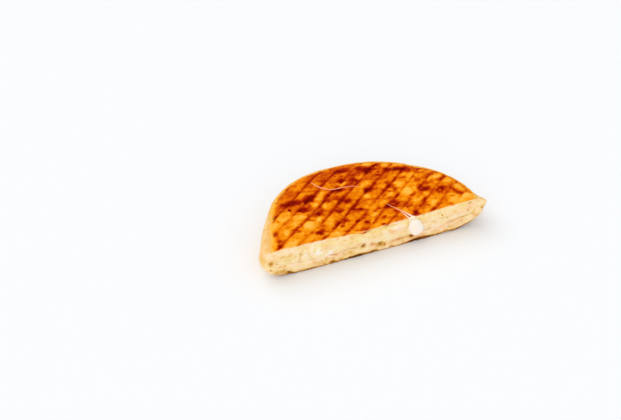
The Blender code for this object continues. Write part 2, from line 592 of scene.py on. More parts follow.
@dataclass(frozen=True)
class CutFace:
    """What the knife laid bare: pores, tears, pale lumps, and brown gaps darkened partly with painted shade,
    the same on bread and filling.

    Attributes:
        gaps_and_shade: soft darker patches, by X and Z: brown gaps in the crumb, partly their own colour and
            partly painted shade in hollows and under the drip.
        lumps: soft paler patches, by X and Z.
        flushes: soft patches of another hue, by X and Z: above zero rosier, below zero more golden.
        patch_tone: how strongly gaps_and_shade and lumps change the tone.
        stretch: how the crumb's pattern is squeezed along each axis.
        plain_tone: tone of the plain crumb.
        tones: ripples of the tone.
        pores: the crumb's pores.
        bed: how the upper edge of the denser bottom layer wavers.
        bed_edge: that edge, by height.
        bed_tone: extra tone of that layer.
        bed_crumb: ripple of the tone in that layer.
        plain_hue: middle between golden and rosy.
        hues: ripples of the hue.
        relief_stretch: how the relief is squeezed along each axis.
        reliefs: ripples of the depth.
    """

    gaps_and_shade: tuple[Spot, ...] = (
        Spot(-79.8, 13.2, 2.8, 1.9, 0.78, 70, 0.3), Spot(-79.8, 7.6, 0.9, 0.8, 0.9, 60, 0.5),
        Spot(-72.6, 8.6, 3, 0.6, 0.52, -14, 0.4), Spot(-71.5, 4.2, 7, 1.8, 0.46, -10, 0.3),
        Spot(-66.5, 2.4, 1.6, 0.7, 0.8, -20, 0.5), Spot(-70, 17.2, 3.6, 1.5, 0.14, -12),
        Spot(-73, 21.8, 4.5, 0.8, 0.3, -8, 0.3), Spot(-58.4, 13.6, 3.8, 0.4, 0.55, 70, 0.5),
        Spot(-56.8, 17.2, 1, 0.7, 0.42, 0, 0.3), Spot(-52.4, 13.4, 2.6, 0.4, 0.45, 116, 0.5),
        Spot(-33.2, 7, 3.2, 0.9, 0.55, -14, 0.5), Spot(-34.5, 4.5, 2.4, 0.6, 0.4, -20, 0.4),
        Spot(-48.6, 5.3, 1, 1.6, 0.28, 0, 0.2), Spot(-42, 2.4, 6, 0.8, 0.42, 3, 0.3),
        Spot(-21, 8.6, 7.6, 0.9, 0.6, 0, 0.5), Spot(-25.5, 17.2, 2.2, 0.6, 0.3, -18, 0.3),
        Spot(-11.2, 7.9, 2.1, 1.7, 1.15, 20, 1.5), Spot(-4.4, 7.6, 2.6, 1.2, 0.62, -55, 0.6),
        Spot(1.8, 6.2, 4.2, 2.4, 0.84, -4, 0.6), Spot(5.4, 3.9, 1.9, 0.7, 0.6, 80, 0.4),
        Spot(12.6, 14.1, 3, 0.9, 0.24, 10, 0.2), Spot(17.6, 5.8, 8.4, 1.2, 0.62, 3, 0.5),
        # The patch at (26.2, 5.6) is painted shadow under the drip.
        Spot(26.2, 5.6, 2.6, 1.7, 0.56, -38, 0.3), Spot(43, 13.3, 3, 1, 0.5, -14, 0.4),
        Spot(49.5, 17.2, 1.1, 0.6, 1, -60, 0.6), Spot(53.6, 14.1, 0.9, 0.5, 0.8, -70, 0.5),
        Spot(49.9, 13.6, 1.6, 0.4, 0.36, 90, 0.3), Spot(61, 10.3, 8, 1.4, 0.4, 8, 0.4),
        Spot(68.6, 11.2, 5, 0.8, 0.34, 10, 0.3), Spot(75.4, 12.9, 2.6, 1.7, 0.44, 70, 0.3),
        Spot(71.2, 22, 1.6, 1.4, 0.48, 0, 0.3), Spot(70.4, 15.3, 0.9, 0.6, 0.6, 0, 0.4),
        Spot(81.8, 14.8, 0.9, 1.4, 0.66, 20, 0.5), Spot(-74, 12, 9, 6.5, 0.08),
        Spot(-18, 4.2, 13, 2.4, 0.13), Spot(6, 12.4, 12, 3, 0.1, 4), Spot(63, 7, 13, 4.4, 0.15, 8),
        Spot(80, 12, 6, 6, 0.14), Spot(-35, 1.6, 2.2, 1.2, 0.6, 20, 0.4),
        Spot(-47.4, 6, 0.5, 1.6, 0.46, 10, 0.3), Spot(-50, 6.4, 0.8, 0.6, 0.4),
        Spot(-5.4, 1.4, 2.2, 1.2, 0.34, 30), Spot(78.6, 9.4, 2, 1.6, 0.3, 30),
        Spot(12, 3.4, 10, 1.2, 0.16), Spot(-36.5, 7.6, 2.4, 0.4, 0.46, 32, 0.2),
        Spot(-33.4, 9.8, 2, 0.4, 0.42, 30, 0.2), Spot(-39.6, 5.6, 1.8, 0.4, 0.4, 40, 0.2),
        Spot(-31, 7.2, 2.2, 0.5, 0.36, 35, 0.2), Spot(-82.4, 23.4, 1, 1, 0.4),
        Spot(-2.6, 8, 2.4, 0.6, 0.36, -50, 0.3), Spot(33, 3.6, 6, 1.4, 0.2, 4),
        Spot(-64, 15.8, 5.6, 1.6, 0.06, -10), Spot(-18, 10.8, 10, 2.2, 0.34),
        Spot(46, 15.4, 10, 2.6, 0.08, 6), Spot(48, 19.4, 10, 1.4, 0.12, 5),
        Spot(2, 19.6, 16, 1.2, 0.2, 3), Spot(77, 8, 4, 2.4, 0.16, 30), Spot(-12, 19.2, 5, 1.3, 0.3),
        Spot(12, 19.6, 4, 1, 0.22), Spot(28, 19.4, 4, 1, 0.22), Spot(29, 6, 4, 1.4, 0.2),
    )
    lumps: tuple[Spot, ...] = (
        Spot(-45.2, 14, 3.6, 3.8, -0.36, -20, -0.2), Spot(-50.5, 16.7, 3.6, 1.8, -0.35, 80, -0.1),
        Spot(-66.6, 20.4, 4, 2.6, -0.24, 20, -0.1), Spot(-37, 9.8, 2.8, 2.4, -0.3, 15, -0.2),
        Spot(15.6, 17.2, 5, 3.2, -0.44, 8, -0.2), Spot(45, 8.8, 4, 2.2, -0.26, 10, -0.1),
        Spot(64.4, 16, 4.6, 2.4, -0.14, 6, -0.1), Spot(80.5, 19.7, 3, 1.6, -0.12, 0, -0.1),
        Spot(-58, 6, 9, 3.6, -0.1), Spot(-3.2, 3.4, 1, 1.4, -0.3), Spot(-23.6, 2.6, 2.4, 2.2, -0.26, 40),
        Spot(-7.4, 6, 1.5, 3.4, -0.26, 20), Spot(43, 18.6, 3, 2, -0.1, 30),
        Spot(67, 14.2, 4, 2.6, -0.18, 10), Spot(-63, 20.6, 2.6, 3, -0.18, 60),
        Spot(-48, 7.4, 14, 2, -0.24), Spot(-73, 15.6, 4, 1.4, -0.16), Spot(52, 3.6, 4, 1.6, -0.46),
        Spot(-52, 3.6, 4, 1.6, -0.18), Spot(-28, 3.6, 3, 1.4, -0.16), Spot(20, 3.6, 4, 1.4, -0.18),
    )
    flushes: tuple[Spot, ...] = (
        Spot(-48, 13, 26, 4, -0.35, -2), Spot(-44, 19, 5, 2, -0.4), Spot(0, 19.5, 14, 1.8, -0.5),
        Spot(29, 18.6, 4, 3, -0.6), Spot(13, 19, 4, 2, -0.35), Spot(44, 19, 12, 2, -0.3, 5),
        Spot(72, 11.5, 6, 2.2, -0.5, 8), Spot(-76, 4, 5, 3, 0.1), Spot(-77, 10, 4, 5, -0.15),
        Spot(-12, 7, 3, 2.4, -0.3), Spot(4, 7.4, 3.4, 2, -0.4), Spot(72, 19, 7, 2.4, 0.5, 8),
        Spot(63, 15, 6, 2.4, 0.4), Spot(-12, 15, 4, 2.4, -0.4), Spot(-33, 7, 6.5, 2.4, 0.75, -10),
        Spot(-4, 5, 4, 2.6, 0.55), Spot(47, 6.5, 13, 2.8, 0.5, 5), Spot(-50, 5.6, 6, 2.6, 0.3),
        Spot(13, 5, 7, 3, 0.42), Spot(16, 15, 7, 3, 0.35), Spot(30, 3, 8, 2, 0.5, 4),
    )
    patch_tone: float = 0.62
    stretch: Row = (0.8, 1.0, 1.15)
    plain_tone: float = 0.30
    tones: tuple[Ripple, ...] = (Ripple(151, 0.007, 0.23), Ripple(101, 0.0018, 0.17))
    pores: tuple[Pores, ...] = (
        Pores(101, 0.0034, 0.30, 0.16, 0.0009),
        Pores(151, 0.0017, 0.35, 0.12, 0.00045),
    )
    bed: Ripple = Ripple(171, 0.012, 0.0024)
    bed_edge: Fade = Fade(0.0085, 0.0035)
    bed_tone: float = 0.07
    bed_crumb: Ripple = Ripple(181, 0.0034, 0.26)
    plain_hue: float = 0.47
    hues: tuple[Ripple, ...] = (Ripple(191, 0.0060, 0.55), Ripple(195, 0.0022, 0.55, 2))
    relief_stretch: Row = (0.8, 1.0, 1.1)
    reliefs: tuple[Ripple, ...] = (Ripple(151, 0.009, 0.00035), Ripple(101, 0.0022, 0.00016))

    def tone(self, points: Array) -> Array:
        """How dark the crumb is, from about 0 for white to 1 for a brown gap, painted shade included.

        Args:
            points: rows of X, Y, Z in the pressed loaf.

        Returns:
            One number for each point.
        """
        drawn = points * np.array(self.stretch)
        total = self.plain_tone + sum(ripple.at(drawn) for ripple in self.tones)
        total += sum(pores.tone * pores.at(drawn) for pores in self.pores)
        low = self.bed_edge.at(points[:, 2] + self.bed.at(drawn))
        total += low * (self.bed_tone + self.bed_crumb.at(drawn))
        # Gaps darken the tone, partly as painted shade in hollows and under the drip.
        for patch in (*self.gaps_and_shade, *self.lumps):
            total += self.patch_tone * patch.strength * patch.cover(points[:, 0], points[:, 2])
        return total

    def blush(self, points: Array) -> Array:
        """How rosy the crumb and the cheese are, from 0 for golden to 1.

        Args:
            points: rows of X, Y, Z in the pressed loaf.

        Returns:
            One number for each point.
        """
        drawn = points * np.array(self.stretch)
        total = self.plain_hue + sum(ripple.at(drawn) for ripple in self.hues)
        for patch in self.flushes:
            total += patch.strength * patch.cover(points[:, 0], points[:, 2])
        return np.clip(total, 0.0, 1.0)

    def sunk(self, points: Array, openness: float) -> Array:
        """How far each point of the cut lies behind the knife's plane.

        Args:
            points: rows of X, Y, Z in the pressed loaf.
            openness: 1 for bread crumb, less for melted cheese.

        Returns:
            Depths, above zero into the food.
        """
        drawn = points * np.array(self.relief_stretch)
        depth = sum(ripple.at(drawn) for ripple in self.reliefs)
        depth += sum(openness * pores.depth * pores.at(drawn) for pores in self.pores)
        for patch in (*self.gaps_and_shade, *self.lumps):
            depth += patch.depth * MM * patch.cover(points[:, 0], points[:, 2])
        return depth


@dataclass(frozen=True)
class Grilling:
    """How the two crusts were pressed and browned.

    Attributes:
        families: the two crossing families of marks.
        scorches_and_shade: dark patches of the top, by X and Y: mostly scorch, and partly painted shade in
            some towards the back left.
        pale_spots: light patches of the top, by X and Y.
        base_spots: dark and light patches of the base, by X and Y.
        faint_areas: areas where the marks are fainter, by X and Y.
        mark_depth: depth of a full mark of the top.
        base_mark_depth: depth of a full mark of the base.
        wander: how far the marks stray sideways.
        wander_size: the length over which they do.
        force: least, usual and greatest force on a mark.
        extra_depth: how much deeper a mark is pressed than its force browns it.
        patchiness: how unevenly the marks are pressed.
        raw: browning of the crust away from all marks, below zero for pale.
        mark_browning: how strongly a full mark browns it.
        back_heat: extra browning towards the back.
        back_reach: how far behind the cut it is full.
        right_heat: extra browning towards the right-hand end.
        right_reach: how far to the right it is full.
        mottle: broad mottling.
        streaks: streaks along the marks, before they are hardened.
        streak_squeeze: how much they are squeezed along the marks.
        streak_strength: how strongly the hardened streaks brown the crust.
        specks: fine specks, before they are hardened.
        speck_strength: how strongly the hardened specks brown the crust.
        blisters: burnt blisters.
        frays: how the patches' edges are frayed along X and Y.
        base_mottle: extra mottling of the base, which has few patches of its own.
        contrast: how quickly pale turns into burnt.
    """

    families: tuple[GrillMarks, ...] = (
        GrillMarks(38.0, 0.0101, -0.0040, 0.00105, 1.0, -0.0014),
        GrillMarks(-17.0, 0.0112, -0.0018, 0.0011, 0.40),
    )
    scorches_and_shade: tuple[Spot, ...] = (
        Spot(-70.8, 16.6, 3.4, 2.8, 1.5, 100), Spot(-70, 10, 3.4, 1.8, 1, 80),
        Spot(-72.4, 3.4, 3.4, 2.2, 1.4, 20), Spot(-57, 15.4, 6, 1.5, 0.9, 33),
        Spot(-51.5, 38.8, 1.4, 1, 3.4, 80), Spot(-42.2, 36.2, 3.8, 3.4, 2.2),
        # The patches at (-47, 45.4), (-33, 46.6), (-64.5, 35) and (-26, 50) are partly char and partly painted
        # shade.
        Spot(-47, 45.4, 9, 3.4, 2.3, 2), Spot(-33, 46.6, 4.6, 3.2, 2, 10),
        Spot(-64.5, 35, 5, 2.6, 1.4, 60), Spot(-26, 50, 4.4, 1.8, 1.9, 35),
        Spot(-41, 8.8, 2.9, 2.5, 2.4, 20), Spot(-40, 2.8, 1.6, 1.2, 0.9), Spot(-36.5, 15, 1.9, 1, 1.5),
        Spot(-24.6, 14.8, 3.4, 1.5, 1.6, 42), Spot(-29, 10.4, 2, 1.4, 0.8, 42),
        Spot(-22.8, 10.8, 1.6, 1.2, 1.7), Spot(-5, 8.6, 2, 2.2, 2.4, 30),
        Spot(-10.6, 12.6, 1.8, 1.4, 1.5), Spot(-5.6, 14, 1.5, 1.2, 1.1),
        Spot(-19, 26.2, 2.8, 2, 1.7, -20), Spot(-7, 25.2, 4, 1.2, 1.8, -20),
        Spot(-2.9, 23.2, 1.6, 1.2, 1.8), Spot(-8.6, 34.2, 3.2, 2.4, 2, 10),
        Spot(-34, 28, 2.4, 1.8, 1.1, 40), Spot(-15, 40, 2.4, 2.2, 1.3, 38),
        Spot(-24, 41, 6, 1.4, 0.7, 44), Spot(-13, 37.6, 6, 1.5, 0.9, 42), Spot(-9.6, 48.6, 5, 1.4, 1.6),
        Spot(-4.6, 58, 3.4, 2.6, 1.7, 20), Spot(-12, 3, 3.6, 2.4, 0.9), Spot(-22, 5, 2.2, 1.2, 0.8),
        Spot(10, 40.8, 3, 3, 2.7, 10), Spot(19.4, 62.2, 3.8, 3.4, 2.8),
        Spot(13.8, 66.8, 2.4, 2.4, 1.8, 40), Spot(27, 65.8, 4.6, 1.3, 1.5, 18),
        # The patch at (3, 69) is partly char and partly painted shade.
        Spot(3, 69, 7, 3, 1.4, 10), Spot(40, 54.6, 7, 2.3, 2, -10), Spot(32.6, 57.2, 3, 2, 1.5),
        Spot(56, 52, 5, 1.2, 1.3, -42), Spot(50.5, 47.6, 5, 3.6, 0.9), Spot(24, 53.6, 2.4, 1.3, 1.4),
        Spot(5.6, 55.2, 2.4, 3, 1.5, 20), Spot(26.6, 43, 2.2, 2.4, 1.4),
        Spot(25, 39.4, 2.4, 1.6, 1.5, 38), Spot(21, 36.8, 1.9, 1.4, 1.2), Spot(28.6, 34.4, 1.8, 1.6, 1.1),
        Spot(52.2, 44, 1.3, 1.3, 1.1), Spot(47.2, 40, 0.9, 0.9, 1.2), Spot(59, 39.6, 5, 1.9, 1.1, 20),
        Spot(64.4, 31.6, 4.2, 1.8, 1.3, 28), Spot(46, 26.2, 3.4, 3.6, 1.8, 110),
        Spot(51, 26, 1.2, 1, 0.9), Spot(57.4, 20, 4.4, 3, 1.7, 60), Spot(68.4, 12, 2.8, 2.6, 1.7),
        Spot(66.4, 17.4, 4, 1.3, 1.1, 100), Spot(62, 10, 1.5, 0.9, 1.4),
        Spot(15.6, 18.8, 2.9, 1.9, 2.5, 10), Spot(21.6, 22.2, 2.6, 2, 1.6, 35),
        Spot(26.6, 27, 3.4, 1.3, 1, 36), Spot(9, 19.4, 2.2, 1.6, 1.3), Spot(9, 9.2, 1.7, 1.2, 1.4),
        Spot(4.6, 1.4, 1.5, 1.2, 2.2), Spot(27.6, 11.2, 0.9, 0.9, 1.2), Spot(18.2, 11, 1.4, 1.8, 1.3),
        Spot(16, 6, 1.4, 1, 0.8), Spot(42.4, 14.6, 3.6, 1.3, 1.3, 42), Spot(36.4, 9.4, 1.9, 1.2, 0.9, 30),
        Spot(30, 3.6, 2.2, 3.2, 1.6), Spot(43, 2.4, 4.4, 1.5, 1.2, 25), Spot(58, 3.2, 3.4, 1.3, 0.9, 28),
        Spot(20.4, 17.4, 5.6, 2.6, 2, 10), Spot(-20.6, 13.6, 5.4, 1.6, 1.6, 48),
        Spot(-36, 27.6, 9, 3.4, 1), Spot(-28.6, 34, 3.6, 1.8, 1.1, 60), Spot(-10.6, 46.8, 6, 2, 1.7, -8),
        Spot(-21, 45, 3, 2.6, 1.2, 50), Spot(-17, 27.6, 2.4, 3.6, 1.4, 20),
        Spot(-5, 28.4, 5, 1.8, 1.2, 30), Spot(-6, 22.4, 4, 2, 0.9), Spot(-5.2, 13.6, 3, 1.4, 1.2, 30),
        Spot(-51.6, 18.4, 4, 1.8, 1.3, 25), Spot(-60, 12.6, 3.4, 1.6, 1.2, 25),
        Spot(-34, 39, 4, 2.6, 0.7, 40), Spot(-38, 11.6, 3.6, 1.8, 0.9, -40),
        Spot(1.6, 51.4, 4.4, 2.2, 1.4, 50), Spot(10, 61.6, 6.6, 2, 1.1, 15),
        Spot(29, 64.6, 3.4, 2.2, 1.3), Spot(17, 45.4, 5.6, 1.6, 1.4, 42), Spot(21.6, 53.8, 3.6, 1.6, 1.1),
        Spot(34, 54.4, 5, 1.8, 1, -6), Spot(44.6, 50, 3.4, 3.2, 1.7), Spot(28.6, 38.8, 2.8, 2.2, 1.3),
        Spot(20, 31.4, 3, 1.8, 1, 20), Spot(48.4, 23.8, 4, 2.2, 1.4, 10), Spot(53.4, 31, 5, 1.6, 1.1, 8),
        Spot(60.6, 20.4, 3.4, 3.2, 1.4), Spot(66, 15.6, 3, 1.6, 1), Spot(44, 10.4, 6, 3, 0.8, 30),
        Spot(31.6, 7, 2.4, 2.4, 1),
    )
    pale_spots: tuple[Spot, ...] = (
        Spot(57.6, 19.4, 1.4, 0.9, -2, 60), Spot(-45, 18.4, 5, 2.4, -1.4, 40),
        Spot(-62.4, 14.6, 2.8, 3.6, -1.3), Spot(-60, 4.8, 4, 1.5, -1.2, 10), Spot(-60, 30, 3, 4, -1.2),
        Spot(-48, 28, 6, 3, -0.9, 20), Spot(-55, 36, 5, 3, -0.6), Spot(-52.4, 23, 3, 2, -1, 30),
        Spot(-30, 18.6, 3.6, 2.8, -1.2, 30), Spot(-36, 22, 3.6, 1.8, -1.1, 38),
        Spot(-27.2, 35, 2.6, 2.2, -1.1, 30), Spot(-32.6, 39, 2.6, 3.2, -1.4),
        Spot(-24.4, 49, 3.2, 3.6, -1.1, 40), Spot(-27, 43.4, 2.6, 2, -1),
        Spot(-31, 4.6, 4.4, 2.2, -1, 10), Spot(-50, 6, 6, 1.6, -0.6, 30),
        Spot(34.6, 28.4, 4, 3.6, -1.8, 60), Spot(22.6, 30.4, 3.2, 2.2, -1.3),
        Spot(34.4, 39.4, 4.4, 3.2, -1.3, 30), Spot(6.4, 35, 3, 2.3, -1.1, 30),
        Spot(10.6, 47.4, 4.6, 2.4, -1, 20), Spot(36.6, 16, 3.6, 3, -1.1, 40), Spot(46, 20, 2.4, 2, -1.3),
        Spot(46.6, 9, 4.2, 3.6, -1.2, 30), Spot(54, 14.6, 3.6, 2.6, -0.8, 30),
        Spot(43, 48, 3.6, 1.6, -1, 20), Spot(57, 45, 4.6, 2, -1, -30), Spot(58, 34, 5.4, 2, -1.3, 20),
        Spot(68, 28, 3.6, 1.9, -1.1, 20), Spot(71.6, 20, 3, 4, -1.2), Spot(73, 5.6, 4.4, 4.6, -1.6),
        Spot(21, 70.2, 5.6, 2.6, -1.6, -20), Spot(33, 62.6, 3.2, 1.8, -1.3, -20),
        Spot(43, 59.6, 4.4, 1.4, -1.3, -25), Spot(0, 9, 1, 2.4, -1), Spot(-50, 18, 28, 14, -0.3, 30),
        Spot(46, 43, 7, 4, -1.6, 40), Spot(50.6, 47, 3, 4, -1.3), Spot(64, 35, 5, 3.6, -1.6, -35),
        Spot(57, 40, 5, 2.4, -0.9), Spot(41.6, 27.6, 4, 2.4, -1.7, -8), Spot(38, 20.8, 4, 1.6, -0.9),
        Spot(63.6, 4.4, 6, 4.6, -1.8, 30), Spot(70, 9, 3, 2, -0.8), Spot(34, 47, 10, 2.4, -1),
        Spot(36.6, 34, 4, 2.4, -1.1), Spot(24, 36, 4, 2.4, -0.7), Spot(24.6, 8.8, 2.6, 3.2, -1.2),
        Spot(4, 44.4, 6.4, 2, -1.1, 20), Spot(12.6, 56.6, 5, 1.8, -1.4, 30),
        Spot(-4.8, 54, 3.6, 2.2, -1.6, -30), Spot(3, 22.6, 3, 3.4, -1.2), Spot(3.2, 13.4, 2.4, 2, -1.1),
        Spot(15.4, 24.6, 3.6, 2.4, -0.9), Spot(12.6, 17, 3.6, 1.4, -0.9, 40),
        Spot(-2.8, 6, 4, 1.4, -1.5, 42), Spot(-32, 8, 8, 1.4, -1.2, 25), Spot(-43.8, 8.6, 1.8, 2, -1.2),
        Spot(-40, 1.6, 6, 1.4, -0.9), Spot(-55.6, 31, 2, 3.4, -0.9), Spot(-52, 36.4, 2.6, 2.6, -0.8),
        Spot(-67.4, 27, 2.4, 4.6, -1.6, -30), Spot(-74.4, 6, 1.8, 9, -1.1),
    )
    base_spots: tuple[Spot, ...] = (
        Spot(-15.0, 0.0, 7.0, 5.0, 1.1),
        Spot(-3.0, 0.0, 3.0, 4.0, 0.9),
        Spot(34.0, 0.0, 11.0, 6.0, 1.4),
        Spot(10.0, 0.0, 10.0, 4.0, 0.6),
        Spot(-50.0, 0.0, 15.0, 5.0, -3.0),
        Spot(68.0, 0.0, 10.0, 5.0, -0.8),
    )
    faint_areas: tuple[Spot, ...] = (
        Spot(-58.0, 12.0, 30.0, 20.0, 0.55, 35.0),
        Spot(62.0, 16.0, 22.0, 22.0, 0.45),
    )
    mark_depth: float = 0.0008
    base_mark_depth: float = 0.00048
    wander: float = 0.0005
    wander_size: float = 0.016
    force: Row = (0.05, 0.72, 1.25)
    extra_depth: float = 0.2
    patchiness: Ripple = Ripple(0, 0.013, 0.75, 2)
    raw: float = -0.52
    mark_browning: float = 1.45
    back_heat: float = 0.45
    back_reach: float = 0.06
    right_heat: float = 0.10
    right_reach: float = 0.08
    mottle: Ripple = Ripple(31, 0.010, 0.45, 2)
    streaks: Ripple = Ripple(41, 0.0034, 2.4, 2)
    streak_squeeze: float = 0.6
    streak_strength: float = 0.52
    specks: Ripple = Ripple(51, 0.0015, 2.4, 2)
    speck_strength: float = 0.34
    blisters: Pores = Pores(55, 0.0052, 0.14, 1.2)
    frays: tuple[Ripple, Ripple] = (Ripple(61, 0.0026, 0.0010, 2), Ripple(66, 0.0026, 0.0010, 2))
    base_mottle: Ripple = Ripple(71, 0.006, 0.9, 2)
    contrast: float = 1.8

    def pressed_in(self, points: Array, side: Side) -> tuple[Array, Array]:
        """Valley depth and scorching of the grill marks.

        Args:
            points: rows of X, Y, Z in the pressed loaf.
            side: the side that they lie on.

        Returns:
            Valley shares of 0 to 1, and scorching from 0 to about 1.5.
        """
        flat = points * FLAT
        wander = self.wander * Noise(side.value).soft(flat, self.wander_size)
        least, usual, greatest = self.force
        deep = np.zeros(len(points))
        scorch = np.zeros(len(points))
        mild = 1.0 - sum(area.strength * area.cover(points[:, 0], points[:, 1]) for area in self.faint_areas)
        for number, family in enumerate(self.families):
            patchy = self.patchiness.at(flat, side.value + 7 * (number + 1))
            force = np.clip(usual + patchy, least, greatest) * family.strength
            valley = family.valley(points, wander)
            deep = np.maximum(deep, valley * np.minimum(force + self.extra_depth, 1.0))
            scorch += valley * force * mild
        return deep, scorch

    def browning(self, points: Array, side: Side) -> Array:
        """How baked the crust is, from 0 for pale gold to 1 for nearly black, with painted shade in a few dark
        patches of the top.

        Args:
            points: rows of X, Y, Z in the pressed loaf.
            side: the side that they lie on.

        Returns:
            One number for each point.
        """
        seed = side.value
        flat = points * FLAT
        _, scorch = self.pressed_in(points, side)
        along, across = turned(points[:, 0], points[:, 1], self.families[0].angle)
        drawn_out = np.stack([self.streak_squeeze * along, across, flat[:, 2]], axis=1)
        level = self.raw + self.mark_browning * scorch + self.mottle.at(flat, seed)
        level += self.streak_strength * np.tanh(self.streaks.at(drawn_out, seed))
        level += self.speck_strength * np.tanh(self.specks.at(flat, seed))
        level += self.blisters.tone * self.blisters.at(flat, seed)
        level += self.back_heat * np.clip(points[:, 1] / self.back_reach, 0.0, 1.2)
        level += self.right_heat * np.clip(points[:, 0] / self.right_reach, -1.0, 1.0)
        frayed_x, frayed_y = (points[:, axis] + fray.at(flat, seed) for axis, fray in enumerate(self.frays))
        for spot in (*self.scorches_and_shade, *self.pale_spots) if side is Side.TOP else self.base_spots:
            level += spot.strength * spot.cover(frayed_x, frayed_y)
        if side is Side.BASE:
            level += self.base_mottle.at(flat, seed)
        return 1.0 / (1.0 + np.exp(-self.contrast * level))


# ---- Materials ----


@dataclass(frozen=True)
class Ramp:
    """Display colours at rising positions.

    Attributes:
        stops: the position, red, green and blue of each colour.
    """

    stops: tuple[tuple[float, int, int, int], ...]


@dataclass(frozen=True)
class Grain:
    """Noise of a material.

    Attributes:
        scale: repeats per metre.
        detail: finer layers.
        stretch: how much the pattern is squeezed along each axis.
    """

    scale: float
    detail: float
    stretch: Row = (1.0, 1.0, 1.0)


class MaterialGraph:
    """A Principled material that is built node by node."""

    def __init__(self, name: str) -> None:
        """Start a plain Principled material.

        Args:
            name: the material's name.
        """
        self.material = bpy.data.materials.new(name)
        self.material.use_nodes = True
        self.nodes = self.material.node_tree.nodes
        self.links = self.material.node_tree.links
        self.shader = self.nodes["Principled BSDF"]
        self.place = self.nodes.new("ShaderNodeTexCoord").outputs["Object"]

    def attribute(self, mask: Mask) -> Socket:
        """Read a point attribute of the mesh.

        Args:
            mask: the attribute.

        Returns:
            Its value.
        """
        node = self.nodes.new("ShaderNodeAttribute")
        node.attribute_name = mask.value
        return node.outputs["Fac"]

    def noise(self, grain: Grain) -> Socket:
        """Noise on object coordinates.

        Args:
            grain: the noise.

        Returns:
            The noise value, from 0 to 1.
        """
        mapping = self.nodes.new("ShaderNodeMapping")
        mapping.inputs["Scale"].default_value = grain.stretch
        self.links.new(self.place, mapping.inputs["Vector"])
        node = self.nodes.new("ShaderNodeTexNoise")
        node.inputs["Scale"].default_value = grain.scale
        node.inputs["Detail"].default_value = grain.detail
        self.links.new(mapping.outputs["Vector"], node.inputs["Vector"])
        return node.outputs["Fac"]

    def around(self, value: Socket, noise: Socket, reach: float) -> Socket:
        """Shift a value up and down by a centred noise.

        Args:
            value: the value to shift.
            noise: noise from 0 to 1.
            reach: the whole width of the shift.

        Returns:
            The shifted value.
        """
        spread = self.nodes.new("ShaderNodeMath")
        spread.operation = "MULTIPLY_ADD"
        spread.inputs[1].default_value = reach
        spread.inputs[2].default_value = -0.5 * reach
        self.links.new(noise, spread.inputs[0])
        total = self.nodes.new("ShaderNodeMath")
        total.operation = "ADD"
        self.links.new(value, total.inputs[0])
        self.links.new(spread.outputs[0], total.inputs[1])
        return total.outputs[0]

    def stirred(self, value: Socket, noises: tuple[Socket, Socket], reaches: Pair) -> Socket:
        """Shift a value up and down by two centred noises, one after the other."""
        return self.around(self.around(value, noises[0], reaches[0]), noises[1], reaches[1])

    def ramp(self, value: Socket, ramp: Ramp) -> Socket:
        """Colour a value by a ramp.

        Args:
            value: the value, from 0 to 1.
            ramp: the colours.

        Returns:
            The colour.
        """
        node = self.nodes.new("ShaderNodeValToRGB")
        elements = node.color_ramp.elements
        while len(elements) < len(ramp.stops):
            elements.new(1.0)
        for element, (position, *colour) in zip(elements, ramp.stops):
            element.position = position
            element.color = display_colour(*colour)
        self.links.new(value, node.inputs["Fac"])
        return node.outputs["Color"]

    def mix(self, share: Socket, first: Socket, second: Socket) -> Socket:
        """Blend two colours.

        Args:
            share: how much of the second colour shows.
            first: the colour at 0.
            second: the colour at 1.

        Returns:
            The blended colour.
        """
        node = self.nodes.new("ShaderNodeMix")
        node.data_type = "RGBA"
        for name, socket in (("Factor", share), ("A", first), ("B", second)):
            self.links.new(socket, node.inputs[name])
        return node.outputs["Result"]

    def span(self, value: Socket, given: Pair, wanted: Pair) -> Socket:
        """Map a value from one range to another, held at the ends.

        Args:
            value: the value to map.
            given: the ends of its own range.
            wanted: what they become.

        Returns:
            The mapped value.
        """
        node = self.nodes.new("ShaderNodeMapRange")
        for name, number in zip(("From Min", "From Max", "To Min", "To Max"), (*given, *wanted)):
            node.inputs[name].default_value = number
        self.links.new(value, node.inputs["Value"])
        return node.outputs["Result"]

    def bump(self, height: Socket, depth: float, strength: float) -> None:
        """Give the shader a fine bump.

        Args:
            height: the height, from 0 to 1.
            depth: what a height of 1 stands for.
            strength: how strongly the bump tells.
        """
        node = self.nodes.new("ShaderNodeBump")
        node.inputs["Distance"].default_value = depth
        node.inputs["Strength"].default_value = strength
        self.links.new(height, node.inputs["Height"])
        self.links.new(node.outputs["Normal"], self.shader.inputs["Normal"])


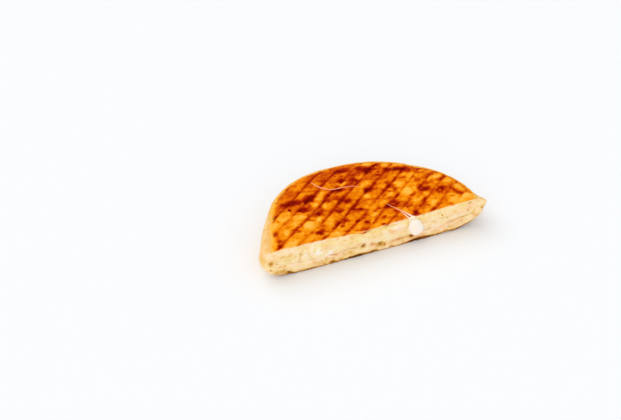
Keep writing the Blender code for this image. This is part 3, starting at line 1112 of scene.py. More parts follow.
@dataclass(frozen=True)
class BreadFinish:
    """Crust that runs from pale gold to black with its baking, a cream rim, and an open crumb.

    Attributes:
        crust: colours by how baked the crust is.
        rim: colours of the rim that the grill never touched.
        golden_crumb: colours of the cut by its tone, where the crumb is yellower.
        rosy_crumb: colours of the cut by its tone, where the crumb is pinker.
        grain: fine noise of the crust.
        mottle: coarser noise of the crust.
        blotch: the coarsest noise of the rim.
        streak: noise of the crumb.
        baked_reach: how far grain and mottle shift the baking.
        rim_reach: how far blotch and mottle shift the rim's colour.
        edge_reach: how far mottle and blotch shift the rim's inner edge.
        edge: the ends of that edge.
        streak_reach: how far the streaks shift the crumb's tone.
        roughness: roughness of the crust and of the crumb.
        gloss: specular level.
        bump_mottle: how far the mottle shifts the fine bump.
        bump_depth: depth of the fine bump.
        bump_strength: how strongly it tells.
    """

    crust: Ramp = Ramp(
        (
            (0.00, 250, 187, 80), (0.08, 247, 167, 44), (0.18, 241, 147, 12),
            (0.32, 232, 125, 1), (0.50, 213, 96, 0), (0.68, 195, 72, 0), (0.84, 172, 44, 0),
            (0.95, 146, 18, 0), (1.00, 98, 5, 0),
        )
    )
    rim: Ramp = Ramp(
        (
            (0.25, 247, 166, 40), (0.45, 247, 179, 60), (0.65, 240, 182, 84),
            (0.85, 230, 178, 103), (1.00, 239, 198, 135),
        )
    )
    golden_crumb: Ramp = Ramp(
        (
            (0.00, 255, 240, 214), (0.16, 252, 233, 184), (0.34, 249, 223, 152),
            (0.50, 242, 207, 126), (0.66, 225, 183, 96), (0.82, 200, 150, 54),
            (0.92, 156, 102, 28), (1.00, 88, 54, 16),
        )
    )
    rosy_crumb: Ramp = Ramp(
        (
            (0.00, 255, 237, 222), (0.16, 255, 228, 200), (0.34, 255, 218, 172),
            (0.50, 249, 201, 150), (0.66, 234, 176, 118), (0.82, 207, 143, 78),
            (0.92, 162, 95, 38), (1.00, 98, 48, 20),
        )
    )
    grain: Grain = Grain(1500.0, 3.0)
    mottle: Grain = Grain(420.0, 3.0)
    blotch: Grain = Grain(140.0, 2.0)
    streak: Grain = Grain(900.0, 3.0, (0.8, 1.0, 1.15))
    baked_reach: Pair = (0.22, 0.18)
    rim_reach: Pair = (0.60, 0.26)
    edge_reach: Pair = (0.45, 0.55)
    edge: Pair = (0.12, 0.52)
    streak_reach: float = 0.34
    roughness: Pair = (0.48, 0.85)
    gloss: float = 0.01
    bump_mottle: float = 0.6
    bump_depth: float = 0.00025
    bump_strength: float = 0.45

    def build(self) -> bpy.types.Material:
        """Make the material.

        Returns:
            The bread's material.
        """
        graph = MaterialGraph("toasted_bread")
        grain, mottle, blotch = (graph.noise(grain) for grain in (self.grain, self.mottle, self.blotch))
        cut = graph.attribute(Mask.CRUMB)
        skin = self._skin(graph, grain, mottle, blotch)
        colour = graph.mix(cut, skin, self._crumb(graph))
        graph.links.new(colour, graph.shader.inputs["Base Color"])
        roughness = graph.span(cut, (0.0, 1.0), self.roughness)
        graph.links.new(roughness, graph.shader.inputs["Roughness"])
        graph.shader.inputs["Specular IOR Level"].default_value = self.gloss
        height = graph.around(grain, mottle, self.bump_mottle)
        graph.bump(height, self.bump_depth, self.bump_strength)
        return graph.material

    def _skin(self, graph: MaterialGraph, grain: Socket, mottle: Socket, blotch: Socket) -> Socket:
        """Colour of the crust and the rim.

        Args:
            graph: the material.
            grain: fine noise.
            mottle: coarser noise.
            blotch: the coarsest noise.

        Returns:
            The colour.
        """
        rim_share = graph.attribute(Mask.RIM)
        baked = graph.stirred(graph.attribute(Mask.BAKED_AND_SHADE), (grain, mottle), self.baked_reach)
        soft = graph.stirred(rim_share, (blotch, mottle), self.rim_reach)
        outward = graph.stirred(rim_share, (mottle, blotch), self.edge_reach)
        pale = graph.span(outward, self.edge, (0.0, 1.0))
        return graph.mix(pale, graph.ramp(baked, self.crust), graph.ramp(soft, self.rim))

    def _crumb(self, graph: MaterialGraph) -> Socket:
        """Colour of the crumb.

        Args:
            graph: the material.

        Returns:
            The colour.
        """
        tone = graph.around(graph.attribute(Mask.TONE), graph.noise(self.streak), self.streak_reach)
        golden, rosy = (graph.ramp(tone, ramp) for ramp in (self.golden_crumb, self.rosy_crumb))
        return graph.mix(graph.attribute(Mask.BLUSH), golden, rosy)


@dataclass(frozen=True)
class CheeseFinish:
    """Melted cheese: nearly white where it is drawn out, creamier where it lies in the bread.

    Attributes:
        name: the material's name.
        golden: colours by tone, where the cheese is yellower.
        rosy: colours by tone, where the cheese is pinker.
        mottle: its noise.
        mottle_reach: how far the mottle shifts the tone.
        glow: how much light goes through.
        glow_radius: how far red, green and blue go, as shares of the glow's depth.
        glow_depth: how deep the light goes.
        roughness: roughness of the surface.
        gloss: specular level.
        bump_depth: depth of the fine bump.
        bump_strength: how strongly it tells.
    """

    name: str = "melted_cheese"
    golden: Ramp = Ramp(
        (
            (0.00, 255, 242, 228), (0.16, 253, 233, 192), (0.34, 250, 223, 158),
            (0.50, 242, 207, 132), (0.66, 226, 185, 102), (0.82, 198, 152, 60),
            (1.00, 146, 98, 30),
        )
    )
    rosy: Ramp = Ramp(
        (
            (0.00, 255, 241, 230), (0.16, 255, 228, 204), (0.34, 255, 218, 178),
            (0.50, 249, 202, 156), (0.66, 235, 178, 130), (0.82, 207, 144, 84),
            (1.00, 154, 94, 42),
        )
    )
    mottle: Grain = Grain(500.0, 3.0, (0.7, 1.0, 1.2))
    mottle_reach: float = 0.16
    glow: float = 0.15
    glow_radius: Row = (1.0, 0.7, 0.4)
    glow_depth: float = 0.002
    roughness: float = 0.38
    gloss: float = 0.3
    bump_depth: float = 0.0002
    bump_strength: float = 0.25

    def build(self) -> bpy.types.Material:
        """Make the material.

        Returns:
            The cheese's material.
        """
        graph = MaterialGraph(self.name)
        mottle = graph.noise(self.mottle)
        tone = graph.around(graph.attribute(Mask.TONE), mottle, self.mottle_reach)
        golden, rosy = (graph.ramp(tone, ramp) for ramp in (self.golden, self.rosy))
        colour = graph.mix(graph.attribute(Mask.BLUSH), golden, rosy)
        graph.links.new(colour, graph.shader.inputs["Base Color"])
        graph.shader.inputs["Roughness"].default_value = self.roughness
        graph.shader.inputs["Specular IOR Level"].default_value = self.gloss
        graph.shader.inputs["Subsurface Weight"].default_value = self.glow
        graph.shader.inputs["Subsurface Radius"].default_value = self.glow_radius
        graph.shader.inputs["Subsurface Scale"].default_value = self.glow_depth
        graph.bump(mottle, self.bump_depth, self.bump_strength)
        return graph.material


# ---- Meshes ----


def as_object(bm: bmesh.types.BMesh, name: str) -> bpy.types.Object:
    """Turn a bmesh into an object of the scene and free it.

    Args:
        bm: the body.
        name: the object's name.

    Returns:
        The object.
    """
    mesh = bpy.data.meshes.new(name)
    bm.to_mesh(mesh)
    bm.free()
    obj = bpy.data.objects.new(name, mesh)
    bpy.context.scene.collection.objects.link(obj)
    return obj


def settle(obj: bpy.types.Object) -> None:
    """Replace an object's mesh by what its modifiers make of it.

    Args:
        obj: the object.
    """
    depsgraph = bpy.context.evaluated_depsgraph_get()
    mesh = bpy.data.meshes.new_from_object(obj.evaluated_get(depsgraph))
    obj.modifiers.clear()
    obj.data = mesh


def even_out(obj: bpy.types.Object, voxel: float) -> None:
    """Rebuild an object's surface from even facets.

    Args:
        obj: the object.
        voxel: size of the facets.
    """
    remesh = obj.modifiers.new("Even facets", "REMESH")
    remesh.mode = "VOXEL"
    remesh.voxel_size = voxel
    settle(obj)


def refine_front(obj: bpy.types.Object, behind: float) -> None:
    """Halve the facets of an object's cut face.

    Args:
        obj: the object.
        behind: facets whose middle lies in front of this Y and that face the front are halved.
    """
    bm = bmesh.new()
    bm.from_mesh(obj.data)
    faces = [face for face in bm.faces if face.normal.y < -0.6 and face.calc_center_median().y < behind]
    edges = list({edge for face in faces for edge in face.edges})
    bmesh.ops.subdivide_edges(bm, edges=edges, cuts=1, use_grid_fill=True)
    bmesh.ops.triangulate(bm, faces=[face for face in bm.faces if len(face.verts) > 4])
    bm.to_mesh(obj.data)
    bm.free()


def read_rows(data: bpy.types.bpy_prop_collection, name: str) -> Array:
    """Read one triple of numbers from each item of a mesh's data.

    Args:
        data: the items.
        name: the property that holds the triple.

    Returns:
        Rows of X, Y, Z.
    """
    flat = np.empty(len(data) * 3, np.float32)
    data.foreach_get(name, flat)
    return flat.reshape(-1, 3).astype(float)


def read_points(mesh: bpy.types.Mesh) -> Array:
    """The points of a mesh as rows of X, Y, Z."""
    return read_rows(mesh.vertices, "co")


def read_normals(mesh: bpy.types.Mesh) -> Array:
    """The point normals of a mesh as rows of X, Y, Z."""
    return read_rows(mesh.vertex_normals, "vector")


def write_points(mesh: bpy.types.Mesh, points: Array) -> None:
    """Move the points of a mesh."""
    mesh.vertices.foreach_set("co", points.astype(np.float32).ravel())
    mesh.update()


def write_mask(mesh: bpy.types.Mesh, mask: Mask, values: Array) -> None:
    """Store one number for each point of a mesh."""
    attribute = mesh.attributes.new(mask.value, "FLOAT", "POINT")
    attribute.data.foreach_set("value", values.astype(np.float32))


def settle_in_frame(obj: bpy.types.Object, origin: Vector) -> None:
    """Move a finished piece's mesh from the loaf's axes to the frame."""
    obj.data.transform(Matrix.Translation(origin))
    obj.data.update()


# ---- Pieces ----


@dataclass(frozen=True)
class Sides:
    """How much each point belongs to the parts of the bread's surface, from 0 to 1.

    Attributes:
        top: the grilled top.
        base: the grilled base.
        cut: the knife's cut.
        open: all that lies outside the pocket.
    """

    top: Array
    base: Array
    cut: Array
    open: Array


@dataclass(frozen=True)
class FootScorchAndShade:
    """A darker length of the base crust along the foot of the cut, partly scorch and partly painted shade
    under the bottom edge.

    Attributes:
        middle: X of its middle.
        width: half width.
        extra: how much thicker the crust is there.
        dark: how much darker it is.
    """

    middle: float
    width: float
    extra: float
    dark: float


@dataclass
class Bread:
    """The bread: two grilled crusts, a soft rim, the cut crumb and the pocket for the filling.

    Attributes:
        loaf: the loaf's form.
        cut: the cut's looks.
        grilling: the crusts' looks.
        finish: the material.
        voxel: spacing of the surface's points.
        turns: steps of the turned body.
        pocket_turns: steps of the turned pocket.
        pocket_front: Y at which the pocket's cutter ends, in front of the cut.
        front: how far behind the cut the surface is refined.
        weld: points nearer than this become one where the pocket meets the cut.
        blisters: ripples of the whole crust.
        wrinkles: ripples of the flank.
        wrinkle_stretch: how the wrinkles are squeezed along each axis.
        ragged: ripples of the cut's edges, into the bread.
        left_fall: how far the cut falls back at its left-hand end.
        left_end: that end, along X.
        top_facing: how far up a normal of the top points.
        base_facing: how far down a normal of the base points.
        base_height: how high the base reaches.
        cut_facing: how far to the front a normal of the cut points.
        cut_depth: how far behind the knife's plane the cut reaches.
        cut_edge: the edges beside the cut that the knife frayed, by Y.
        mark_edge: where grill marks end, as shares of the radius.
        pocket_edge: extra half height, least Y and greatest share of the radius of the pocket's own faces.
        rim_stray: ripples of the rim's inner edge, as shares of the radius.
        rim_bumps: where the rim of the top is wider, by direction in degrees.
        rim_back: how much wider it is towards the back right.
        rim_back_ends: the ends of that stretch, by direction in degrees.
        rim_top: the rim's inner edge on top, as shares of the radius.
        rim_base: the same on the base.
        torn: ripple of the line along which the top crust is torn at the cut.
        torn_bare: where the tear bares the crumb, by Y.
        torn_right: where the tear ends at the right, along X.
        torn_pale: where crust beside the tear is paler, by Y.
        torn_paling: how much paler it is there.
        over: how thick the top crust shows at the cut.
        over_bumps: where it shows thicker, along X.
        over_edge: its soft lower edge, as shares of that thickness.
        closed_left: where the crust closes over the cut's left-hand end, along X.
        closed_share: how far it closes.
        fray: ripple of the edges of both crusts at the cut.
        foot_depth: how far behind the cut the crumb shows at its foot, by Y.
        foot_edge: how far inside the foot it does.
        foot: how thick the base crust shows at the cut.
        foot_soft: its soft upper edge, as shares of that thickness.
        foot_ends: its ends, along X.
        foot_dark: that crust's darkness, partly its own colour and partly painted shade under the bottom edge.
        foot_burn_and_shade: ripple of the darkness.
        foot_pale_end: where it is paler at the left, along X.
        foot_paling: how much paler it is there.
        foot_tones: tones of its palest and darkest places.
        foot_scorches_and_shade: darker lengths of that crust, scorch and painted shade together.
    """

    loaf: Loaf
    cut: CutFace
    grilling: Grilling
    finish: BreadFinish = BreadFinish()
    voxel: float = 0.00068
    turns: int = 180
    pocket_turns: int = 96
    pocket_front: float = -0.004
    front: float = 0.0008
    weld: float = 2e-5
    blisters: tuple[Ripple, ...] = (Ripple(5, 0.0055, 0.00022), Ripple(6, 0.0018, 0.00010))
    wrinkles: Ripple = Ripple(9, 0.0045, 0.00030)
    wrinkle_stretch: Row = (0.5, 0.5, 1.6)
    ragged: tuple[Ripple, ...] = (Ripple(21, 0.006, 0.00030), Ripple(22, 0.0021, 0.00022, 2))
    left_fall: float = 0.0034
    left_end: Fade = Fade(-0.074, -0.086)
    top_facing: Fade = Fade(0.35, 0.8)
    base_facing: Fade = Fade(0.6, 0.95)
    base_height: Fade = Fade(0.0035, 0.0008)
    cut_facing: Fade = Fade(0.45, 0.85)
    cut_depth: Fade = Fade(0.0016, 0.0006)
    cut_edge: Fade = Fade(0.003, 0.0)
    mark_edge: Fade = Fade(1.0, 0.90)
    pocket_edge: Row = (0.0004, 0.0012, 0.9)
    rim_stray: tuple[Ripple, ...] = (Ripple(33, 0.010, 0.015), Ripple(34, 0.003, 0.010))
    rim_bumps: tuple[Bump, ...] = (Bump(180.0, 0.080, 24.0), Bump(0.0, 0.070, 4.5))
    rim_back: float = 0.018
    rim_back_ends: tuple[Fade, Fade] = (Fade(85.0, 60.0), Fade(24.0, 44.0))
    rim_top: Fade = Fade(0.920, 1.010)
    rim_base: Fade = Fade(0.840, 0.900)
    torn: Ripple = Ripple(37, 0.0042, 0.0009)
    torn_bare: Fade = Fade(0.0008, -0.0001)
    torn_right: Fade = Fade(0.070, 0.060)
    torn_pale: Fade = Fade(0.0022, 0.0002)
    torn_paling: float = 0.30
    over: float = 0.0003
    over_bumps: tuple[Bump, ...] = (Bump(-0.0120, 0.0016, 0.0050), Bump(0.0040, 0.0005, 0.0060))
    over_edge: Fade = Fade(1.25, 0.75)
    closed_left: Fade = Fade(-0.0785, -0.0830)
    closed_share: float = 0.8
    fray: Ripple = Ripple(44, 0.0026, 0.00035, 2)
    foot_depth: Fade = Fade(0.0040, 0.0020)
    foot_edge: Fade = Fade(0.0015, 0.0005)
    foot: float = 0.0010
    foot_soft: Fade = Fade(1.35, 0.75)
    foot_ends: tuple[Fade, Fade] = (Fade(-0.078, -0.071), Fade(0.079, 0.073))
    foot_dark: float = 0.45
    foot_burn_and_shade: Ripple = Ripple(48, 0.0045, 0.35, 2)
    foot_pale_end: Fade = Fade(-0.068, -0.074)
    foot_paling: float = 0.5
    foot_tones: Pair = (0.70, 1.00)
    # Scorched lengths of the base crust, darkened further with painted shade under the bottom edge.
    foot_scorches_and_shade: tuple[FootScorchAndShade, ...] = (
        FootScorchAndShade(-0.0665, 0.0032, 0.0011, 0.35),
        FootScorchAndShade(-0.0500, 0.0060, 0.0005, 0.25),
        FootScorchAndShade(-0.0350, 0.0030, 0.0008, 0.10),
        FootScorchAndShade(-0.0250, 0.0025, 0.0001, 0.35),
        FootScorchAndShade(-0.0145, 0.0075, 0.0020, 0.50),
        FootScorchAndShade(-0.0030, 0.0030, 0.0014, 0.20),
        FootScorchAndShade(0.0325, 0.0110, 0.0021, 0.60),
        FootScorchAndShade(0.0670, 0.0060, 0.0013, 0.45),
    )

    def origin(self) -> Vector:
        """Where the loaf's own origin lies in the frame.

        Returns:
            The place that puts this bread where the frame's bread lies, on the table.
        """
        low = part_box(Node.BREAD.value)[0]
        blank = self._blank()
        own = self.loaf.press(np.array([vertex.co for vertex in blank.verts]))
        blank.free()
        return Vector((low.x - own[:, 0].min(), low.y - own[:, 1].min(), 0.0))

    def build(self) -> bpy.types.Object:
        """Model the bread in the loaf's own axes.

        Returns:
            The bread, with its masks.
        """
        obj = as_object(self._blank(), "bread_half")
        even_out(obj, self.voxel)
        refine_front(obj, self.front)
        self._open_pocket(obj)
        rest = read_points(obj.data)
        facing = read_normals(obj.data)
        pressed = self.loaf.press(rest)
        sides = self._sides(rest, facing)
        final = self.loaf.press(rest + self._relief(rest, facing, pressed, sides))
        final[:, 2] = np.maximum(final[:, 2], 0.0)
        self._write_masks(obj.data, rest, pressed, sides)
        write_points(obj.data, final)
        obj.data.shade_smooth()
        return obj

    def _blank(self) -> bmesh.types.BMesh:
        """The smooth half round that the bread is shaped from."""
        return self.loaf.half_body(self.loaf.outer_profile(PROFILE_STEPS), 0.0, self.turns)

    def _open_pocket(self, obj: bpy.types.Object) -> None:
        """Cut the pocket that the filling lies in, and clear up slivers along its edge.

        Args:
            obj: the bread.
        """
        profile = self.loaf.filling_profile(LENS_STEPS)
        lens = as_object(self.loaf.half_body(profile, self.pocket_front, self.pocket_turns), "pocket")
        boolean = obj.modifiers.new("Pocket", "BOOLEAN")
        boolean.operation = "DIFFERENCE"
        boolean.solver = "EXACT"
        boolean.object = lens
        settle(obj)
        bpy.data.objects.remove(lens, do_unlink=True)
        bm = bmesh.new()
        bm.from_mesh(obj.data)
        bmesh.ops.remove_doubles(bm, verts=bm.verts, dist=self.weld)
        loose = [vertex for vertex in bm.verts if len(vertex.link_edges) == 2]
        bmesh.ops.dissolve_verts(bm, verts=loose)
        bm.to_mesh(obj.data)
        bm.free()

    def _sides(self, rest: Array, facing: Array) -> Sides:
        """Tell the top, the base, the cut and the pocket apart.

        Args:
            rest: points of the true round.
            facing: their normals.

        Returns:
            How much each point belongs to each.
        """
        _, depth, height = rest.T
        extra, least, greatest = self.pocket_edge
        level = np.abs(height - self.loaf.filling_height) < self.loaf.filling_half + extra
        outside = np.where(level & (depth > least) & (self.loaf.share(rest) < greatest), 0.0, 1.0)
        return Sides(
            top=self.top_facing.at(facing[:, 2]) * outside,
            base=self.base_facing.at(-facing[:, 2]) * self.base_height.at(height) * outside,
            cut=self.cut_facing.at(-facing[:, 1]) * self.cut_depth.at(depth) * outside,
            open=outside,
        )

    def _relief(self, rest: Array, facing: Array, pressed: Array, sides: Sides) -> Array:
        """Grill marks, blisters and wrinkles of the crusts, and the open crumb of the cut.

        Args:
            rest: points of the true round.
            facing: their normals.
            pressed: the points' places in the pressed loaf.
            sides: how much each point belongs to each side.

        Returns:
            Moves, as rows of X, Y, Z.
        """
        top_deep, _ = self.grilling.pressed_in(pressed, Side.TOP)
        base_deep, _ = self.grilling.pressed_in(pressed, Side.BASE)
        inner = self.mark_edge.at(self.loaf.share(rest))
        flank = (1.0 - sides.top) * (1.0 - sides.base) * (1.0 - sides.cut) * sides.open
        out = sum(ripple.at(pressed) for ripple in self.blisters) * sides.open * (1.0 - sides.cut)
        out -= self.grilling.mark_depth * top_deep * sides.top * inner
        out -= self.grilling.base_mark_depth * base_deep * sides.base
        out += self.wrinkles.at(pressed * np.array(self.wrinkle_stretch)) * flank
        move = facing * out[:, None]
        near_cut = self.cut_edge.at(rest[:, 1]) * sides.open
        along = pressed * ON_CUT
        move[:, 1] += sum(ripple.at(along) for ripple in self.ragged) * near_cut
        move[:, 1] += self.cut.sunk(along, 1.0) * sides.cut
        move[:, 1] += self.left_fall * self.left_end.at(rest[:, 0]) * near_cut
        return move

    def _write_masks(self, mesh: bpy.types.Mesh, rest: Array, pressed: Array, sides: Sides) -> None:
        """Work out how baked each point is, and what belongs to the rim and to the crumb.

        Args:
            mesh: the bread's mesh.
            rest: points of the true round.
            pressed: the points' places in the pressed loaf.
            sides: how much each point belongs to each side.
        """
        across, depth, height = rest.T
        upper = height > 0.5 * self.loaf.height
        along = pressed * ON_CUT
        gap = self.loaf.foot_gap(rest)
        torn = depth + self.torn.at(pressed * FLAT)
        top = self.grilling.browning(pressed, Side.TOP)
        top -= self.torn_paling * self.torn_pale.at(torn) * sides.top * top
        base = self.grilling.browning(pressed, Side.BASE)
        cut = sides.cut * (1.0 - self._top_crust_at_cut(along, height))
        cut = np.maximum(cut, self.torn_bare.at(torn) * sides.top * self.torn_right.at(across))
        cut *= 1.0 - self.closed_share * self.closed_left.at(across)
        foot = self.foot_depth.at(depth) * self.foot_edge.at(gap)
        tone = self.cut.tone(along)
        # scorched is the foot line's tone, with its painted shade under the bottom edge.
        line, scorched = self._foot_line(along, gap)
        # Baking of both crusts, with painted shade in a few dark patches of the top.
        write_mask(mesh, Mask.BAKED_AND_SHADE, np.where(upper, top, base))
        write_mask(mesh, Mask.RIM, self._rim(rest, pressed, upper))
        write_mask(mesh, Mask.CRUMB, np.maximum(np.maximum(cut, foot), 1.0 - sides.open))
        write_mask(mesh, Mask.TONE, tone + line * (scorched - tone))
        write_mask(mesh, Mask.BLUSH, self.cut.blush(along))

    def _rim(self, rest: Array, pressed: Array, upper: Array) -> Array:
        """How much of the pale rim shows at each point.

        Args:
            rest: points of the true round.
            pressed: the points' places in the pressed loaf.
            upper: which points lie in the upper half.

        Returns:
            Shares of 0 for crust to 1 for rim.
        """
        edge = self.loaf.share(rest) + sum(ripple.at(pressed) for ripple in self.rim_stray)
        turn = np.degrees(np.arctan2(pressed[:, 1], pressed[:, 0]))
        wider = sum(bump.at(turn) for bump in self.rim_bumps)
        wider += self.rim_back * np.prod([end.at(turn) for end in self.rim_back_ends], axis=0)
        return np.where(upper, self.rim_top.at(edge + wider), self.rim_base.at(edge))

    def _foot_line(self, along: Array, gap: Array) -> tuple[Array, Array]:
        """The base crust as it shows along the foot of the cut, darkened partly with painted shade under the
        bottom edge.

        Args:
            along: places on the pressed cut.
            gap: distances from the foot.

        Returns:
            How much of the crust shows at each point, and its tone there.
        """
        across = along[:, 0]
        thick = np.full(len(along), self.foot)
        # burnt is the line's darkness: scorch of the base crust and painted shade under the bottom edge.
        burnt = self.foot_dark + self.foot_burn_and_shade.at(along) - self.foot_paling * self.foot_pale_end.at(across)
        for scorch in self.foot_scorches_and_shade:
            shape = bell(across - scorch.middle, scorch.width)
            thick += scorch.extra * shape
            burnt += scorch.dark * shape
        line = self.foot_soft.at((gap + self.fray.at(along)) / thick)
        line *= np.prod([end.at(across) for end in self.foot_ends], axis=0)
        return line, np.interp(burnt, (0.0, 1.0), self.foot_tones)

    def _top_crust_at_cut(self, along: Array, height: Array) -> Array:
        """How much of the top crust's thickness shows at each point of the cut.

        Args:
            along: places on the pressed cut.
            height: heights in the true round.

        Returns:
            Shares of 0 for crumb to 1 for crust.
        """
        over = self.over + sum(bump.at(along[:, 0]) for bump in self.over_bumps)
        return self.over_edge.at((self.loaf.height - height + self.fray.at(along)) / over)

    def dress(self, obj: bpy.types.Object) -> None:
        """Give the bread its material and tie it to the frame.

        Args:
            obj: the bread.
        """
        obj.data.materials.clear()
        obj.data.materials.append(self.finish.build())
        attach(obj, "root")
        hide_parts(Node.BREAD.value)


@dataclass
class Filling:
    """The melted filling, with its uneven lip at the cut and the drip that hangs from it.

    Attributes:
        loaf: the loaf's form.
        cut: the cut's looks.
        finish: the material.
        lip: how far the filling stands out of the cut on average.
        growth: how far it reaches into the bread round the pocket.
        turns: steps of the turned body.
        drip_centre: middle of the drip in the true round.
        drip_radii: half sizes of the drip.
        drip_lean: lean of the drip from upright, in degrees, its top towards +X.
        neck_centre: middle of the neck that joins the drip to the strings.
        neck_radii: half sizes of the neck.
        drop_rounding: power that rounds off drip and neck; 1 is an ellipsoid.
        voxel: spacing of the surface's points.
        front: how far behind the cut the surface is refined.
        lip_depth: how far behind the cut the lip's lumps reach, by Y.
        drip_edge: the drip's soft edge, as shares of its half sizes.
        drip_depth: how far behind the cut the drip's own looks reach, by Y.
        neck_height: the neck's lower edge, by height.
        neck_share: how much of the drip's looks the neck takes.
        lumps: ripples of the lip.
        openness: depth of pores in the cheese, as a share of their depth in crumb.
        paler: how much paler than crumb the cheese is.
        drip_tone: tone of the drip.
    """

    loaf: Loaf
    cut: CutFace
    finish: CheeseFinish = CheeseFinish()
    lip: float = 0.0003
    growth: float = 0.0001
    turns: int = 128
    drip_centre: Row = (0.0286, -0.0007, 0.0145)
    drip_radii: Row = (0.0053, 0.0029, 0.0082)
    drip_lean: float = -22.0
    neck_centre: Row = (0.0262, 0.0003, 0.0212)
    neck_radii: Row = (0.0033, 0.0014, 0.0040)
    drop_rounding: float = 0.85
    voxel: float = 0.0007
    front: float = 0.0006
    lip_depth: Fade = Fade(0.0022, 0.0004)
    drip_edge: Fade = Fade(1.25, 0.95)
    drip_depth: Fade = Fade(0.0008, 0.0)
    neck_height: Fade = Fade(0.0175, 0.0190)
    neck_share: float = 0.5
    lumps: tuple[Ripple, ...] = (Ripple(61, 0.0048, 0.00040), Ripple(62, 0.0016, 0.00012))
    openness: float = 0.35
    paler: float = 0.03
    drip_tone: float = 0.02

    def build(self) -> bpy.types.Object:
        """Model the filling in the loaf's own axes.

        Returns:
            The filling, with its masks.
        """
        profile = self.loaf.filling_profile(LENS_STEPS, self.growth)
        bm = self.loaf.half_body(profile, -self.lip, self.turns)
        self._add_drop(bm, self.drip_centre, self.drip_radii)
        self._add_drop(bm, self.neck_centre, self.neck_radii)
        obj = as_object(bm, "cheese_filling")
        even_out(obj, self.voxel)
        refine_front(obj, self.front)
        rest = read_points(obj.data)
        facing = read_normals(obj.data)
        pressed = self.loaf.press(rest)
        on_drip = self._on_drip(rest)
        front = self.lip_depth.at(rest[:, 1])
        lumps = sum(ripple.at(pressed) for ripple in self.lumps)
        move = facing * (lumps * front * (1.0 - 0.5 * on_drip))[:, None]
        along = pressed * ON_CUT
        move[:, 1] += self.cut.sunk(along, self.openness) * front * (1.0 - on_drip)
        tone = self.cut.tone(along) - self.paler
        write_mask(obj.data, Mask.TONE, tone * (1.0 - on_drip) + self.drip_tone * on_drip)
        write_mask(obj.data, Mask.BLUSH, self.cut.blush(along))
        write_points(obj.data, self.loaf.press(rest + move))
        obj.data.shade_smooth()
        return obj

    def _add_drop(self, bm: bmesh.types.BMesh, centre: Row, radii: Row) -> None:
        """Add a leaning drop to the filling's body, to be merged with it.

        Args:
            bm: the filling's body.
            centre: middle of the drop.
            radii: half sizes of the drop.
        """
        drop = bmesh.ops.create_icosphere(bm, subdivisions=4, radius=1.0)["verts"]
        for vertex in drop:
            vertex.co.x = math.copysign(abs(vertex.co.x) ** self.drop_rounding, vertex.co.x)
            vertex.co.z = math.copysign(abs(vertex.co.z) ** self.drop_rounding, vertex.co.z)
        bmesh.ops.scale(bm, verts=drop, vec=radii)
        turn = Matrix.Rotation(math.radians(self.drip_lean), 3, "Y")
        bmesh.ops.rotate(bm, verts=drop, matrix=turn)
        bmesh.ops.translate(bm, verts=drop, vec=centre)

    def _on_drip(self, rest: Array) -> Array:
        """How much each point belongs to the drip.

        Args:
            rest: points of the true round.

        Returns:
            Shares of 0 to 1.
        """
        away = rest - np.array(self.drip_centre)
        along, up = turned(away[:, 0], away[:, 2], -self.drip_lean)
        reach = np.hypot(along / self.drip_radii[0], up / self.drip_radii[2])
        drip = self.drip_edge.at(reach) * self.drip_depth.at(rest[:, 1])
        return np.maximum(drip, self.neck_share * self.neck_height.at(rest[:, 2]))

    def dress(self, obj: bpy.types.Object) -> None:
        """Give the filling its material and tie it to the frame.

        Args:
            obj: the filling.
        """
        obj.data.materials.clear()
        obj.data.materials.append(self.finish.build())
        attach(obj, "root")
        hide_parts(Node.CHEESE.value)


@dataclass(frozen=True)
class Strand:
    """One cheese string that lies on the crust.

    Attributes:
        route: X and Y of the points that it passes, in millimetres.
        thickness: radius at each point, in millimetres.
        lift: height of each point above the crust, in millimetres.
    """

    route: tuple[Pair, ...]
    thickness: tuple[float, ...]
    lift: tuple[float, ...]


